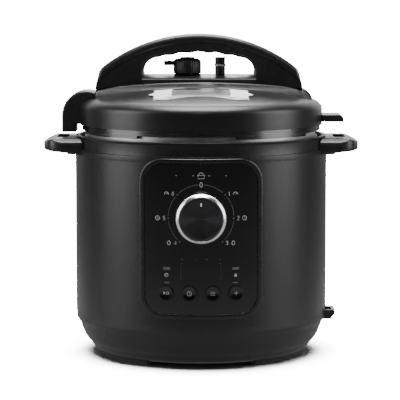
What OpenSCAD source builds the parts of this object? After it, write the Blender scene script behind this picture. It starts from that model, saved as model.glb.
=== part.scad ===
// Electric pressure cooker with a bayonet lid, modelled as it comes apart on a bench.
// Origin: middle of the footprint, on the worktop. +Z is up and the control panel faces -Y.

/* [Housing] */
// Outer radius of the painted steel sleeve
body_r = 136; // [135:0.5:137]
// Thickness of the sleeve's sheet
sleeve_t = 0.8; // [0.6:0.1:1.2]
// Height of the seam between base bowl and sleeve
seam_z = 46.6; // [46:0.2:47]
// Height of the sleeve's top edge
sleeve_top = 222.5; // [222:0.5:223]
// Height of the feet
foot_h = 5; // [4:0.5:5.5]
// Radius of the ring of feet
foot_r = 110; // [106:1:111]

/* [Collar] */
// Outer radius of the collar's plain wall
collar_r = 132; // [131.5:0.5:132.5]
// Height of the collar's top lip
collar_top = 237.1; // [236.5:0.1:237.5]

/* [Pots] */
// Inner radius of the cooking pot
pot_r = 110; // [105:1:111]
// Height of the cooking pot's floor inside
pot_floor = 87.5; // [86:0.5:95]
// Height of the cooking pot's rim
pot_rim = 247.4; // [246:0.2:247.4]
// Outer radius of the fixed outer pot
shell_r = 123.4; // [123:0.1:123.5]

/* [Bayonet] */
// Number of locking teeth
teeth = 4; // [4:1:4]
// Angle that one lid tooth spans
tooth_deg = 42; // [30:1:44]
// Angle of the first tooth from the front, towards +X
tooth_at = 38; // [30:1:45]
// Height of the underside of the lid's teeth
tooth_z = 239.5; // [239:0.1:239.6]

/* [Lid] */
// Outer radius of the lid cover's skirt
lid_r = 131; // [130.5:0.5:131.5]
// Height of the bottom edge of the skirt
skirt_z = 248.2; // [247:0.2:250]
// Height of the crease at the top of the skirt
crease_z = 266.5; // [266:0.5:267]
// Height of the middle of the dome
dome_top = 291; // [290:0.5:291.5]
// Radius of curvature of the dome
dome_r = 455; // [450:5:470]

/* [Lid handle] */
// Height of the top of the grip
arch_top = 345; // [340:1:348]
// Radius of the top curve of the handle
arch_r = 170; // [165:1:175]
// Depth of the handle, front to back
arch_d = 40; // [36:1:44]
// Half length of the handle's feet along X
arch_half = 112.6; // [111:0.2:113]
// Middle of the handle along X
arch_x = -2.2; // [-3:0.2:0]
// Half length of the opening under the grip
grip_half = 59.5; // [56:0.5:61]

/* [Panel] */
// Width of the panel's frame
panel_w = 128; // [126:1:130]
// Lowest edge of the panel's frame
panel_lo = 55.6; // [54:0.2:57]
// Highest edge of the panel's frame
panel_hi = 221.4; // [220:0.2:222]
// Radius of the panel's front face from the body's axis
face_r = 141.2; // [140.8:0.1:141.6]
// Height of the selector knob's axis
knob_z = 161.7; // [158:0.1:165]
// Radius of the selector knob
knob_r = 26; // [22:0.5:28]
// Front of the selector knob from the body's axis
reach = 160; // [158:1:164]
// Height of the row of push buttons
button_z = 83; // [80:0.5:86]
// Radius of a push button
button_r = 7.9; // [7:0.1:8.2]
// Bearing of the outer push buttons about the body's axis
button_deg = 14.8; // [14:0.1:15]

/* [Side handles] */
// Overall half width over the side handles
handle_x = 169.8; // [167:0.2:172]
// Height of a side handle's top face
handle_top = 235; // [234:0.2:236]

/* [Hidden] */
$fn = 96;
gap = 0.3;                      // air between curved faces of different bodies
fit = 0.05;                     // radial play of a shaft in its bearing
eps = 0.05;                     // face clearance between fixed pieces
wall = 2.4;                     // usual wall of a moulded cover

base_r = body_r - 0.5;
// Outside of the base bowl, as inset from base_r and height, from the seam down
bowl = [[0, seam_z - 0.1], [0, 39.5], [3.8, 34], [5.2, 29.5], [7.2, 24], [9.4, 19.8],
  [12, 16.4], [15.6, 12.6], [16.8, 10.6], [19.6, 7], [24, foot_h]];
floor_z = foot_h + 3;           // inside of the base bowl's floor
boss_at = [for (x = [-60, 60], y = [-56, 56]) [x, y]];

flange_z = tooth_z + 2.5;       // underside of the fixed flange, 0.5 over the teeth
flange_t = 2.5;
band_r = lid_r - 2.4;           // outside of the steel lid's turned-down band
pan_t = 1.2;
shell_t = 1.6;
shell_floor = 58;               // underside of the fixed outer pot
plate_top = pot_floor - 2.65;   // top of the heating plate, just under the pot

valve_x = -14.8;                // steam release knob and vent pipe
float_x = 20.6;                 // float valve
pad_z = 301.6;                  // top of the raised pad round the valve
deck_z = 298;                   // top of the deck between the handle's feet
strip_half = 38;                // half depth of the strip under the handle, in its middle
strip_end = 21;                 // and at its ends
arm_z = 240;                    // bottom of the lid's left arm
strip_top = 294;                // crest of the strip
strip_r = 833;                  // radius of the strip's long curve

face_plate = face_r - 1.3;      // radius that the overlay is glued to
buttons = [-button_deg, -4.9, 4.9, button_deg];
button_back = 134.2;            // rear face of a push button from the body's axis
board_y = 125;                  // rear face of the control board from the axis
board_t = 1.4;                  // thickness of the control board
screw_r = 2;
handle_y = 46;                  // half depth of a side handle
handle_screw_y = 36;
handle_screw_z = 219;
// Lid screws: X and Y of each, then how high each reaches
lid_screw_at = [[45, 0, 293], [-45, 0, 293], [85, 10, 297], [-85, 10, 297],
  [85, -10, 297], [-85, -10, 297]];
// Outside of the steel lid's roof, as radius and height
roof = [[0, 275], [60, 272], [108, 263], [113, 260.2], [124, 259.8], [band_r, 255.5]];

function dome(r) = dome_top - dome_r + sqrt(dome_r * dome_r - r * r);
// Half depth of the strip under the handle, X from its middle
function strip_depth(x) = strip_end + (strip_half - strip_end) * pow(cos(x * 0.72), 2);

module revolve(points) rotate_extrude() polygon(points);
module ring(r_out, r_in, z0, z1)
  rotate_extrude() translate([r_in, z0]) square([r_out - r_in, z1 - z0]);
// Part of a ring, from bearing a0 to a1 measured from the front towards +X
module sector(r_out, r_in, z0, z1, a0, a1)
  rotate([0, 0, a0 - 90]) rotate_extrude(angle = a1 - a0)
    translate([r_in, z0]) square([r_out - r_in, z1 - z0]);
module rounded(w, h, r) {
  square([w - 2 * r, h], center = true);
  square([w, h - 2 * r], center = true);
  for (x = [-1, 1], y = [-1, 1]) translate([x * (w / 2 - r), y * (h / 2 - r)]) circle(r);
}
module block(x0, x1, y0, y1, z0, z1)
  translate([x0, y0, z0]) cube([x1 - x0, y1 - y0, z1 - z0]);
module drill(x, y, r, z0, z1) translate([x, y, z0]) cylinder(r = r, h = z1 - z0);
// A flat outline in X and Z, carried along Y
module along_y(y0, y1) translate([0, y1, 0]) rotate([90, 0, 0]) linear_extrude(y1 - y0) children();
// A pin that points out of the panel at a bearing and height, from radius r0 to r1
module out_pin(deg, z, r, r0, r1)
  translate([0, 0, z]) rotate([0, 0, deg]) rotate([90, 0, 0])
    translate([0, 0, r0]) cylinder(r = r, h = r1 - r0);
module out_block(deg, z, w, h, r0, r1)
  translate([0, 0, z]) rotate([0, 0, deg]) block(-w / 2, w / 2, -r1, -r0, -h / 2, h / 2);
// A curved slab of the panel between two radii, with a rounded outline
module panel_slab(w, z0, z1, corner, r0, r1)
  intersection() {
    ring(r1, r0, z0 - 1, z1 + 1);
    translate([0, 0, (z0 + z1) / 2]) along_y(-reach, -80) rounded(w, z1 - z0, corner);
  }

// ---------- base ----------
module bowl_solid(grow) revolve(concat([[0, foot_h]],
  [for (i = [len(bowl) - 1 : -1 : 0]) [base_r - bowl[i][0] + grow, bowl[i][1]]], [[0, seam_z]]));
module base_shell() color("#202022") difference() {
  union() {
    difference() {
      bowl_solid(0);
      revolve(concat([[0, floor_z]], [for (i = [len(bowl) - 2 : -1 : 0])
        [base_r - bowl[i][0] - wall - 0.4, max(bowl[i][1] + 1.2, floor_z)]],
        [[base_r - wall - 0.4, seam_z + 1], [0, seam_z + 1]]));
    }
    ring(body_r - sleeve_t - 0.2, base_r - wall - 0.4, seam_z - 4, seam_z + 6);
    for (p = boss_at) drill(p[0], p[1], 5, floor_z - 0.5, 19.9);
  }
  for (p = boss_at) drill(p[0], p[1], screw_r + eps, -1, 30);
  for (p = boss_at) drill(p[0], p[1], 4.2, foot_h - 1, foot_h + 1.6);
  for (x = [-40 : 10 : 40]) block(x - 2, x + 2, -30, 30, 0, floor_z + 1);
  block(-18.3, 18.3, 100, 150, 14.7, 39.3);
}
module feet() color("#111112")
  for (a = [55.5, 124.5, 235.5, 304.5]) sector(foot_r, foot_r - 9, 0, foot_h, a - 24.5, a + 24.5);
module base_screws() color("silver") for (p = boss_at) {
  drill(p[0], p[1], 4, foot_h - 0.6, foot_h + 1.55);
  drill(p[0], p[1], screw_r, foot_h + 1.5, 19);
}
module power_inlet() color("#18181a") difference() {
  block(-18, 18, 104, 134.6, 15, 39);
  block(-12.5, 12.5, 117, 140, 19, 35);
  for (p = [[-7, 25], [7, 25], [0, 30]]) block(p[0] - 1.25, p[0] + 1.25, 100, 120, p[1] - 2.25, p[1] + 2.25);
}
module inlet_pins() color("gold")
  for (p = [[-7, 25], [7, 25], [0, 30]]) block(p[0] - 1, p[0] + 1, 98, 131, p[1] - 2, p[1] + 2);
module ladle_holder() color("#202022") difference() {
  along_y(-15, 15) polygon([[126, 45.8], [145.6, 45.8], [145.6, 42], [141, 36], [126, 36]]);
  block(135, 142, -10, 10, 30, 50);
  bowl_solid(eps);
}

// ---------- housing ----------
module housing_sleeve() color("#232325") difference() {
  ring(body_r, body_r - sleeve_t, seam_z, sleeve_top);
  translate([0, 0, (panel_lo + panel_hi) / 2]) along_y(-150, -90) rounded(108, 148, 12);
  for (x = [-1, 1], y = [-1, 1]) handle_screw_bore(x, y * handle_screw_y);
}
module handle_screw_bore(side, y)
  translate([side * 132, y, handle_screw_z]) rotate([0, 90, 0])
    cylinder(r = screw_r + 0.1, h = 30, center = true);
module collar_ring() color("#1b1b1d") difference() {
  revolve([[129.5, 216], [body_r - sleeve_t - 0.2, 216], [body_r - sleeve_t - 0.2, sleeve_top],
    [collar_r, sleeve_top], [collar_r, collar_top - 2.3], [collar_r + 2, collar_top - 1.2],
    [collar_r + 2, collar_top], [collar_r - 2, collar_top], [collar_r - 2, 227.5],
    [125.6, 227.5], [125.6, 236], [shell_r + gap, 236], [shell_r + gap, 224.5], [129.5, 224.5]]);
  for (x = [-1, 1], y = [-1, 1]) handle_screw_bore(x, y * handle_screw_y);
  block(-5, 5, 126, 140, 229, 232);
}
module side_handle(side) difference() {
  intersection() {
    along_y(-70, 70) polygon([for (p = [[118, 215.6], [130, 215.8], [handle_x - 5, 220.6],
      [handle_x - 1.4, 222], [handle_x, 224.6], [handle_x, handle_top - 5],
      [157, handle_top], [118, handle_top]]) [side * p[0], p[1]]]);
    translate([side * 100, 0, 0]) rotate([90, 0, 90]) linear_extrude(160, center = true)
      polygon([[-handle_y, 200], [handle_y, 200], [handle_y, handle_top - 4.2],
        [handle_y - 8, handle_top], [8 - handle_y, handle_top], [-handle_y, handle_top - 4.2]]);
    linear_extrude(300) polygon([for (p = [[118, -1.04], [150, -1], [157.5, -0.94], [163, -0.82],
      [167.5, -0.58], [handle_x, -0.22], [handle_x, 0.22], [167.5, 0.58], [163, 0.82],
      [157.5, 0.94], [150, 1], [118, 1.04]]) [side * p[0], handle_y * p[1]]]);
  }
  translate([side * 149.2, 0, 205]) linear_extrude(40) rounded(12.4, 42, 2);
  drill(0, 0, body_r + eps, 200, sleeve_top + eps);
  drill(0, 0, collar_r + 2 + eps, 200, 250);
  for (y = [-1, 1]) handle_screw_bore(side, y * handle_screw_y);
}
module side_handle_left() color("#202022") side_handle(-1);
module side_handle_right() color("#202022") side_handle(1);
module handle_screws() color("silver")
  for (x = [-1, 1], y = [-1, 1]) translate([x * 120.6, y * handle_screw_y, handle_screw_z])
    rotate([0, 90 * x, 0]) {
      cylinder(r = 3.8, h = 2.2);
      cylinder(r = screw_r, h = 22);
    }
module collector_bracket() color("#202022") difference() {
  block(-29, 29, 125, 158, 206, 220);
  block(-26.2, 26.2, 100, 170, 208.5, 217);
  block(-24.6, 24.6, 100, 170, 200, 212);
  block(-8, 8, 100, 150, 215, 222);
  drill(0, 0, body_r + eps, 200, 230);
}
module condensation_collector() color("#303034") difference() {
  union() {
    block(-24, 24, 138, reach, 176, 216);
    block(-25.8, 25.8, 138, 159, 208.7, 211);
  }
  block(-22.2, 22.2, 139.8, reach - 1.8, 178, 220);
}

// ---------- outer pot and heating ----------
module outer_pot() color("#b9bbbd") difference() {
  revolve([[20, shell_floor], [shell_r - 12, shell_floor], [shell_r - 4, shell_floor + 3],
    [shell_r, shell_floor + 11], [shell_r, flange_z - eps], [shell_r - shell_t, flange_z - eps],
    [shell_r - shell_t, shell_floor + 11.5], [shell_r - 5, shell_floor + 4.6],
    [shell_r - 12.5, shell_floor + shell_t], [20, shell_floor + shell_t]]);
  for (x = [-1, 1]) drill(x * 60, 24, 4, shell_floor - 1, shell_floor + 3);
}
module bayonet_flange() color("#d5d7d9") difference() {
  ring(band_r - pan_t - 0.4, shell_r - shell_t, flange_z, flange_z + flange_t);
  for (i = [0 : teeth - 1]) let (a = tooth_at + i * 360 / teeth, w = tooth_deg / 2 + 2)
    sector(140, shell_r + 0.1, flange_z - 1, flange_z + 5, a - w, a + w);
}
module heating_plate() color("#c8cacc") difference() {
  union() {
    ring(92, 19, plate_top - 10, plate_top);
    rotate_extrude() translate([66, plate_top - 10]) circle(6);
    for (x = [-1, 1]) drill(x * 60, 24, 3, plate_top - 19, plate_top - 5);
  }
  ring(90, 84, plate_top - 11, plate_top - 4);
}
module plate_supports() color("silver")
  for (a = [90 : 120 : 330]) drill(80 * cos(a), 80 * sin(a), 3.6,
    shell_floor + shell_t + eps, plate_top - 10 - eps);
module heater_leads() color("#d8d0b8")
  for (x = [-1, 1]) drill(x * 60, 24, 1.5, 28.05, plate_top - 19 - eps);
module pressure_switch() color("#e8e0c8")
  block(-16, 16, -72, -52, shell_floor - 13, shell_floor - eps);
module thermal_fuse() color("#cfcfcf")
  translate([-12, 40, plate_top - 13.2]) rotate([0, 90, 0]) cylinder(r = 3, h = 24);
module power_board() color("#1d6b3a") difference() {
  block(-70, 70, -66, 66, 20, 21.6);
  for (p = boss_at) drill(p[0], p[1], 2.6, 10, 30);
}
module board_components() color("#2b2b30") {
  block(-48, -20, 20, 46, 21.65, 41);
  block(-10, 8, 26, 46, 21.65, 36);
  block(24, 40, -40, -18, 21.65, 34);
  drill(-40, -10, 9, 21.65, 40);
  drill(-14, -24, 7, 21.65, 38);
  block(52, 64, 16, 32, 21.65, 28);
  block(-66, -54, 16, 32, 21.65, 28);
}
module sensor_bracket() color("silver") {
  ring(34, 6 + fit, shell_floor - 2, shell_floor - eps);
  ring(8, 6 + fit, shell_floor - 8, shell_floor + 4);
}
module temperature_sensor() color("#d8dadb") {
  ring(17, 0, plate_top - 3.4, plate_top);
  ring(17, 15.8, plate_top - 8, plate_top - 3);
  ring(6, 0, shell_floor - 12, plate_top - 3);
}
// One ring of points of the spring's wire
function coil_ring(t, turns, r, wire, z0, z1) = [for (k = [0 : 7])
  let (a = 360 * turns * t, b = 45 * k, rr = r + wire * cos(b))
  [rr * cos(a), rr * sin(a), z0 + (z1 - z0) * t + wire * sin(b)]];
module coil_spring(turns, r, wire, z0, z1, steps) {
  points = [for (i = [0 : steps]) each coil_ring(i / steps, turns, r, wire, z0 + wire, z1 - wire)];
  sides = [for (i = [0 : steps - 1], k = [0 : 7]) let (n = (k + 1) % 8)
    each [[i * 8 + k, i * 8 + n, i * 8 + 8 + n], [i * 8 + k, i * 8 + 8 + n, i * 8 + 8 + k]]];
  caps = [[for (k = [7 : -1 : 0]) k], [for (k = [0 : 7]) steps * 8 + k]];
  polyhedron(points, concat([for (f = sides) [f[2], f[1], f[0]]], [for (c = caps) [for (i = [7 : -1 : 0]) c[i]]]));
}
module sensor_spring() color("silver")
  coil_spring(4, 11, 0.8, shell_floor + 0.1, plate_top - 3.5, 64);

// ---------- control panel ----------
module panel_holes(extra) {
  for (deg = buttons) out_pin(deg, button_z, button_r + gap, 120, reach);
  out_pin(0, knob_z, 5.2, 120, reach);
  block(-19.7 - extra, 19.7 + extra, -reach, -120, 98 - extra, 113.6 + extra);
  for (x = [-1, 1]) {
    out_block(x * 14.6, 108.6, 7.2, 3, 120, reach);
    out_block(x * 14.4, 94, 5.2, 1.4, 120, reach);
  }
}
module panel_bezel() color("#161617") difference() {
  union() {
    panel_slab(panel_w, panel_lo, panel_hi, 24, body_r + eps, face_r - 1.4);
    panel_slab(panel_w - 3, panel_lo + 1.5, panel_hi - 1.5, 22.5, body_r, face_r);
  }
  panel_slab(115.6, 61.3, 216.9, 19.3, face_plate, face_r + 5);
  panel_holes(2);
}
module panel_overlay() color("#050506") difference() {
  panel_slab(115.2, 61.5, 216.7, 19, face_plate + eps, face_r - 0.2);
  panel_holes(0);
}
module display_window() color("#0b0b10") intersection() {
  ring(face_r - 0.25, face_plate + eps, 90, 120);
  block(-19.6, 19.6, -reach, -120, 98.1, 113.5);
}
module indicator_lamps() color("#5a5a5e") for (x = [-1, 1]) {
  out_block(x * 14.6, 108.6, 7, 2.8, face_r - 3.4, face_r - 0.25);
  out_block(x * 14.4, 94, 5, 1.2, face_r - 3.4, face_r - 0.25);
}
module display_module() color("#3a3a3c")
  block(-20.4, 20.4, -136.4, -board_y - board_t - eps, 97, 114.6);
module control_board() color("#1d6b3a")
  block(-44, 44, -board_y - board_t, -board_y, 72, 190);
module selector_encoder() color("#8d9092") difference() {
  union() {
    out_block(0, knob_z, 16, 16, board_y + board_t + eps, board_y + 8);
    out_pin(0, knob_z, 4.6, board_y + 7.5, face_plate - 1.5);
  }
  out_pin(0, knob_z, 3 + fit, board_y + board_t + 0.5, reach);
}
module button_switches() color("#4a4a4c") for (deg = buttons)
  let (r0 = (board_y + board_t + eps + 3.25 * abs(sin(deg))) / cos(deg))
    out_block(deg, button_z, 6.5, 6.5, r0, button_back - 1.2);
module push_button(deg) difference() {
  out_pin(deg, button_z, button_r, button_back, face_r + 0.8);
  translate([0, 0, button_z]) rotate([0, 0, deg]) translate([0, -face_r - 22.9, 0]) sphere(23.2);
}
module button_start_stop() color("#0c0c0d") push_button(buttons[0]);
module button_temp_time() color("#0c0c0d") push_button(buttons[1]);
module button_program() color("#0c0c0d") push_button(buttons[2]);
module button_plus() color("#0c0c0d") push_button(buttons[3]);
module knob_axis() translate([0, 0, knob_z]) rotate([90, 0, 0]) children();
module knob_ring() color("#e4e6e8") knob_axis()
  revolve([[23.1, face_r + 0.6], [knob_r - 0.6, face_r + 0.6], [knob_r, face_r + 1.4],
    [knob_r, reach - 4.4], [knob_r - 1.2, reach - 1.8], [23.6, reach - 0.9], [23.1, reach - 1.4]]);
module knob_cap() color("#3c3d40") knob_axis() difference() {
  revolve([[0, reach - 0.5], [18, reach - 0.2], [21.4, reach], [22.9, reach - 1],
    [22.9, face_r + 1.2], [20.9, face_r + 1.2], [20.9, reach - 3.2], [6, reach - 3.4],
    [6, face_r + 1.6], [0, face_r + 1.6]]);
  translate([0, 0, face_r]) cylinder(r = 3.02, h = 12.1);
}
module knob_shaft() color("silver") knob_axis()
  translate([0, 0, board_y + board_t + 0.6]) cylinder(r = 3, h = face_r + 10.6 - board_y - board_t);

// ---------- cooking pot and seal ----------
module inner_pot() color("#d9dadc") revolve([[0, pot_floor - 2.5], [pot_r - 7, pot_floor - 2.5],
  [pot_r - 2.6, pot_floor - 0.4], [pot_r + 0.2, pot_floor + 3.5], [pot_r + 1, pot_floor + 9],
  [pot_r + 1, pot_rim - 4.5], [pot_r + 2.6, pot_rim - 1.4], [pot_r + 9, pot_rim - 1.2],
  [pot_r + 10.4, pot_rim - 2.4], [pot_r + 10.8, pot_rim - 1.2], [pot_r + 9.6, pot_rim],
  [pot_r + 2.4, pot_rim - 0.2], [pot_r, pot_rim - 4], [pot_r, pot_floor + 9.4],
  [pot_r - 0.9, pot_floor + 4.5], [pot_r - 3.6, pot_floor + 1], [pot_r - 7.6, pot_floor],
  [0, pot_floor]]);
module sealing_ring() color("#d8d4cc") revolve([[112.4, pot_rim + 0.15], [119.6, pot_rim + 0.15],
  [121.4, 251], [120.8, 258], [113.4, 258], [113.2, 255.2], [118, 254.6], [118, 251.4],
  [113.6, 250.4]]);

// ---------- lid ----------
module lid_bores(clear) {
  drill(valve_x, 0, 4.05 + clear, 240, 320);
  drill(float_x, 0, 5.2 + gap, 277, 320);
  drill(float_x, 0, 2.8, 240, 320);
  for (p = lid_screw_at) drill(p[0], p[1], screw_r + eps, 240, p[2] + 0.3);
}
module lid_pan() color("#c3c5c7") {
  difference() {
    revolve(concat(roof, [[band_r, tooth_z], [band_r - pan_t, tooth_z], [band_r - pan_t, 255],
      [123.6, 258.4], [113, 258.8]],
      [for (i = [2 : -1 : 0]) [max(roof[i][0] - 0.2, 0), roof[i][1] - 1.25]]));
    lid_bores(0);
    for (i = [0 : teeth - 1]) let (a = tooth_at + (i + 0.5) * 360 / teeth)
      sector(140, 126, tooth_z - 1, tooth_z + 3.2, a - 45 + tooth_deg / 2, a + 45 - tooth_deg / 2);
  }
  for (i = [0 : teeth - 1]) let (a = tooth_at + i * 360 / teeth)
    sector(band_r - pan_t + 0.01, shell_r + 0.5, tooth_z, tooth_z + 2,
      a - tooth_deg / 2, a + tooth_deg / 2);
}
// Outside of the lid cover, from the skirt's edge to the middle of the dome
cover_out = concat([[lid_r, skirt_z], [lid_r, crease_z], [lid_r - 0.9, crease_z + 2.3],
  [lid_r - 2.8, crease_z + 4.6], [lid_r - 6, crease_z + 6.9], [lid_r - 10.6, crease_z + 8.7],
  [lid_r - 16, crease_z + 10]], [for (r = [110 : -10 : 0]) [r, dome(r)]]);
cover_in = [for (i = [len(cover_out) - 1 : -1 : 6]) cover_out[i] - [0, wall]];
module cover_solid() revolve(concat(cover_out, [[0, skirt_z]]));
module lid_cover() color("#121214") difference() {
  revolve(concat(cover_out, cover_in, [[lid_r - 9.4, crease_z + 5], [lid_r - 4.6, crease_z + 2.6],
    [lid_r - 2.1, crease_z - 1.5], [lid_r - 2.1, skirt_z]]));
  drill(valve_x, 0, 8, 240, 320);
  lid_bores(0);
}
module ring_rack() color("silver") {
  rotate_extrude() translate([111, 252.6]) circle(1);
  for (a = [20 : 60 : 320]) drill(111 * cos(a), 111 * sin(a), 0.6, 252.8, 259.8);
}
module strip_outline() {
  intersection() {
    translate([0, strip_top - strip_r]) circle(strip_r, $fn = 360);
    translate([-113, 255]) square([225, 50]);
  }
  intersection() {
    translate([108.5, 272.6]) circle(11.8);
    translate([100, 268]) square([30, 30]);
  }
}
module handle_base() color("#161617") difference() {
  union() {
    intersection() {
      along_y(-strip_half, strip_half) strip_outline();
      linear_extrude(320) polygon([for (x = [-125 : 10 : 125]) [x, strip_depth(x)],
        for (x = [125 : -10 : -125]) [x, -strip_depth(x)]]);
    }
    block(arch_x - grip_half + eps, arch_x + grip_half - eps, -25, 25, 280, deck_z);
    translate([-1.6, 0, 280]) linear_extrude(pad_z - 280) rounded(71, 40, 10);
  }
  translate([0, 0, eps]) cover_solid();
  drill(0, 0, lid_r + 1, 200, crease_z + 1);
  drill(valve_x, 0, 8, 240, 320);
  lid_bores(0);
}
module arch_outline() difference() {
  intersection() {
    translate([0, arch_top - arch_r]) circle(arch_r, $fn = 360);
    polygon([[0.6 - arch_half, 283], [-arch_half, 287], [4 - arch_half, 304], [-100, 350],
      [100, 350], [arch_half - 4, 304], [arch_half, 287], [arch_half - 0.6, 283]]);
  }
  intersection() {
    translate([0, arch_top - arch_r - 13.5]) circle(arch_r - 5, $fn = 360);
    translate([16 - grip_half, 280]) square([2 * grip_half - 32, 60]);
  }
  for (x = [-1, 1]) translate([x * (grip_half - 16), 304.2]) circle(16);
  translate([-grip_half, 270]) square([2 * grip_half, 34.2]);
  translate([-arch_x, strip_top - strip_r + eps]) circle(strip_r, $fn = 360);
}
module cap_zone(r) translate([0, arch_top - arch_r]) difference() {
  circle(arch_r + 5, $fn = 360);
  circle(r, $fn = 360);
}
module handle_cap() color("#222224")
  translate([arch_x, 0, 0]) along_y(-arch_d / 2, arch_d / 2) intersection() {
    arch_outline();
    cap_zone(arch_r - 9);
  }
module handle_grip() color("#141415") difference() {
  translate([arch_x, 0, 0]) along_y(-arch_d / 2, arch_d / 2) difference() {
    arch_outline();
    cap_zone(arch_r - 9.1);
  }
  lid_bores(0);
}
module lid_arm() color("#202022") difference() {
  along_y(-20, 20) {
    translate([-123, 257.8]) circle(26.7);
    translate([-149.7, arm_z]) square([27, 257.8 - arm_z]);
    translate([-123, 262]) square([123 - 113.1, 22.4]);
  }
  translate([0, 0, eps]) cover_solid();
  drill(0, 0, lid_r + eps, 200, crease_z);
  block(-160, -100, -40, 40, 200, arm_z);
  block(-134.5, -100, -40, 40, 200, skirt_z);
  block(-113.1, -90, -40, 40, 200, 300);
}
module lid_fin() color("#202022") difference() {
  along_y(-20, 20) polygon([[126, 251], [153.6, 251], [153, 256], [150.6, 258.7],
    [126, 258.7]]);
  drill(0, 0, lid_r + eps, 200, crease_z);
}
module label_plate() color("#b8babd") intersection() {
  revolve(concat([for (r = [40 : 10 : 110]) [r, dome(r) + eps]],
    [for (r = [110 : -10 : 40]) [r, dome(r) + 1.2]]));
  translate([0, -73, 270]) linear_extrude(30) rounded(100, 46, 3);
}
module lid_screws() color("silver") for (p = lid_screw_at)
  let (z = lookup(norm([p[0], p[1]]), roof) - 1.9) {
    drill(p[0], p[1], 3.6, z - 2.4, z);
    drill(p[0], p[1], screw_r, z - 0.5, p[2]);
  }
module vent_pipe() color("#cfd1d3") translate([valve_x, 0, 0])
  revolve([[1.4, 268], [6.6, 268], [6.6, 272.4], [4, 272.4], [4, 306.6], [2.6, 308.2],
    [1.4, 308.2]]);
module vent_shield() color("#c3c5c7") translate([valve_x, 0, 0])
  revolve([[0, 259], [9.4, 259], [9.4, 272.3], [8.4, 272.3], [8.4, 260], [0, 260]]);

// ---------- valves ----------
module steam_release_knob() color("#101011") difference() {
  union() {
    translate([valve_x, 0, 0]) revolve([[0, 302], [14.2, 302], [15, 303], [15, 315.4],
      [13.8, 317.6], [11.4, 318.7], [0, 319]]);
    translate([valve_x, 0, 0]) block(-25.4, -10, -5, 5, 311.3, 315.6);
  }
  drill(valve_x, 0, 12.4, 300, 315);
}
module valve_weight() color("#8f9194") translate([valve_x, 0, 0])
  revolve([[0, 308.9], [2.6, 308.9], [4.7, 306.7], [4.7, 302.6], [8, 302.6], [8, 309.6],
    [6, 311.2], [0, 311.2]]);
module float_valve() color("#dfe1e3") translate([float_x, 0, 0])
  revolve([[0, 266], [2.45, 266], [2.45, 290], [5.2, 291], [5.2, 309.6], [6.2, 310.6],
    [6.2, 312], [5.6, 312.5], [0, 312.1]]);
module float_seal() color("#d8d4cc") translate([float_x, 0, 0])
  revolve([[2.5, 267], [6.4, 267], [7.4, 269], [7.4, 272.2], [2.5, 272.2]]);

base_shell();
feet();
base_screws();
housing_sleeve();
collar_ring();
side_handle_left();
side_handle_right();
handle_screws();
outer_pot();
bayonet_flange();
heating_plate();
plate_supports();
heater_leads();
pressure_switch();
thermal_fuse();
power_board();
board_components();
control_board();
selector_encoder();
button_switches();
display_module();
panel_bezel();
panel_overlay();
display_window();
indicator_lamps();
power_inlet();
inlet_pins();
ladle_holder();
collector_bracket();
sensor_bracket();
sensor_spring();
temperature_sensor();
condensation_collector();
knob_ring();
knob_cap();
knob_shaft();
button_start_stop();
button_temp_time();
button_program();
button_plus();
inner_pot();
sealing_ring();
lid_pan();
lid_cover();
ring_rack();
handle_base();
handle_grip();
handle_cap();
lid_arm();
lid_fin();
label_plate();
lid_screws();
vent_pipe();
vent_shield();
steam_release_knob();
valve_weight();
float_valve();
float_seal();
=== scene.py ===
"""Looks of an electric pressure cooker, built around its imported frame.

Lengths are in millimetres until a piece is made; the frame itself is in metres.
"""

import logging
import math
from dataclasses import dataclass, field
from enum import Enum
from typing import Callable, Optional, Sequence

import bmesh
import bpy
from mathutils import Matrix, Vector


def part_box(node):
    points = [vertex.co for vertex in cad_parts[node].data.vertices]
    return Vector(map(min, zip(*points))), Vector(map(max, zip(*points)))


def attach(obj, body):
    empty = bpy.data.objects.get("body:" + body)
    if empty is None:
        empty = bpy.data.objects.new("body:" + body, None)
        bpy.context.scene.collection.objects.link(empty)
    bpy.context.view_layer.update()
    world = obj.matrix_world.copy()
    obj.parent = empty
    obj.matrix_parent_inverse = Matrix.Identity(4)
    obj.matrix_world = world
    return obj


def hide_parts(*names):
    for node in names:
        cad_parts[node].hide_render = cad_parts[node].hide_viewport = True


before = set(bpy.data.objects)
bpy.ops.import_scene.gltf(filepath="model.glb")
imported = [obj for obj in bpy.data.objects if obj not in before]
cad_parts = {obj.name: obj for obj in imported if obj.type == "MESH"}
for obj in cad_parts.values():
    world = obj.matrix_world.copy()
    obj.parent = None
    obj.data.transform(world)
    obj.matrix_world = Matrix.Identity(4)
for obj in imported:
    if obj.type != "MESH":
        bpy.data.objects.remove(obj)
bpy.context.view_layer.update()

LOG = logging.getLogger("pressure_cooker")
MM = 0.001
AXIS_HOLE = 0.05  # radius at which a turned shape closes on its axis
WELD = 0.002 * MM  # points nearer to each other than this are one point
NOISE_LOW, NOISE_HIGH = 0.3, 0.7  # nearly all of a noise's values lie between these

Point = tuple[float, float]
Point3 = tuple[float, float, float]
Place = Callable[[float, float, float], Point3]


# ---------------------------------------------------------------- finishes


class Lay(Enum):
    """How the fine lines of a worked metal run."""

    AROUND_Z = "around the upright axis"
    ALONG_X = "along X"
    AROUND_KNOB = "around the selector's axis"


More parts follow.
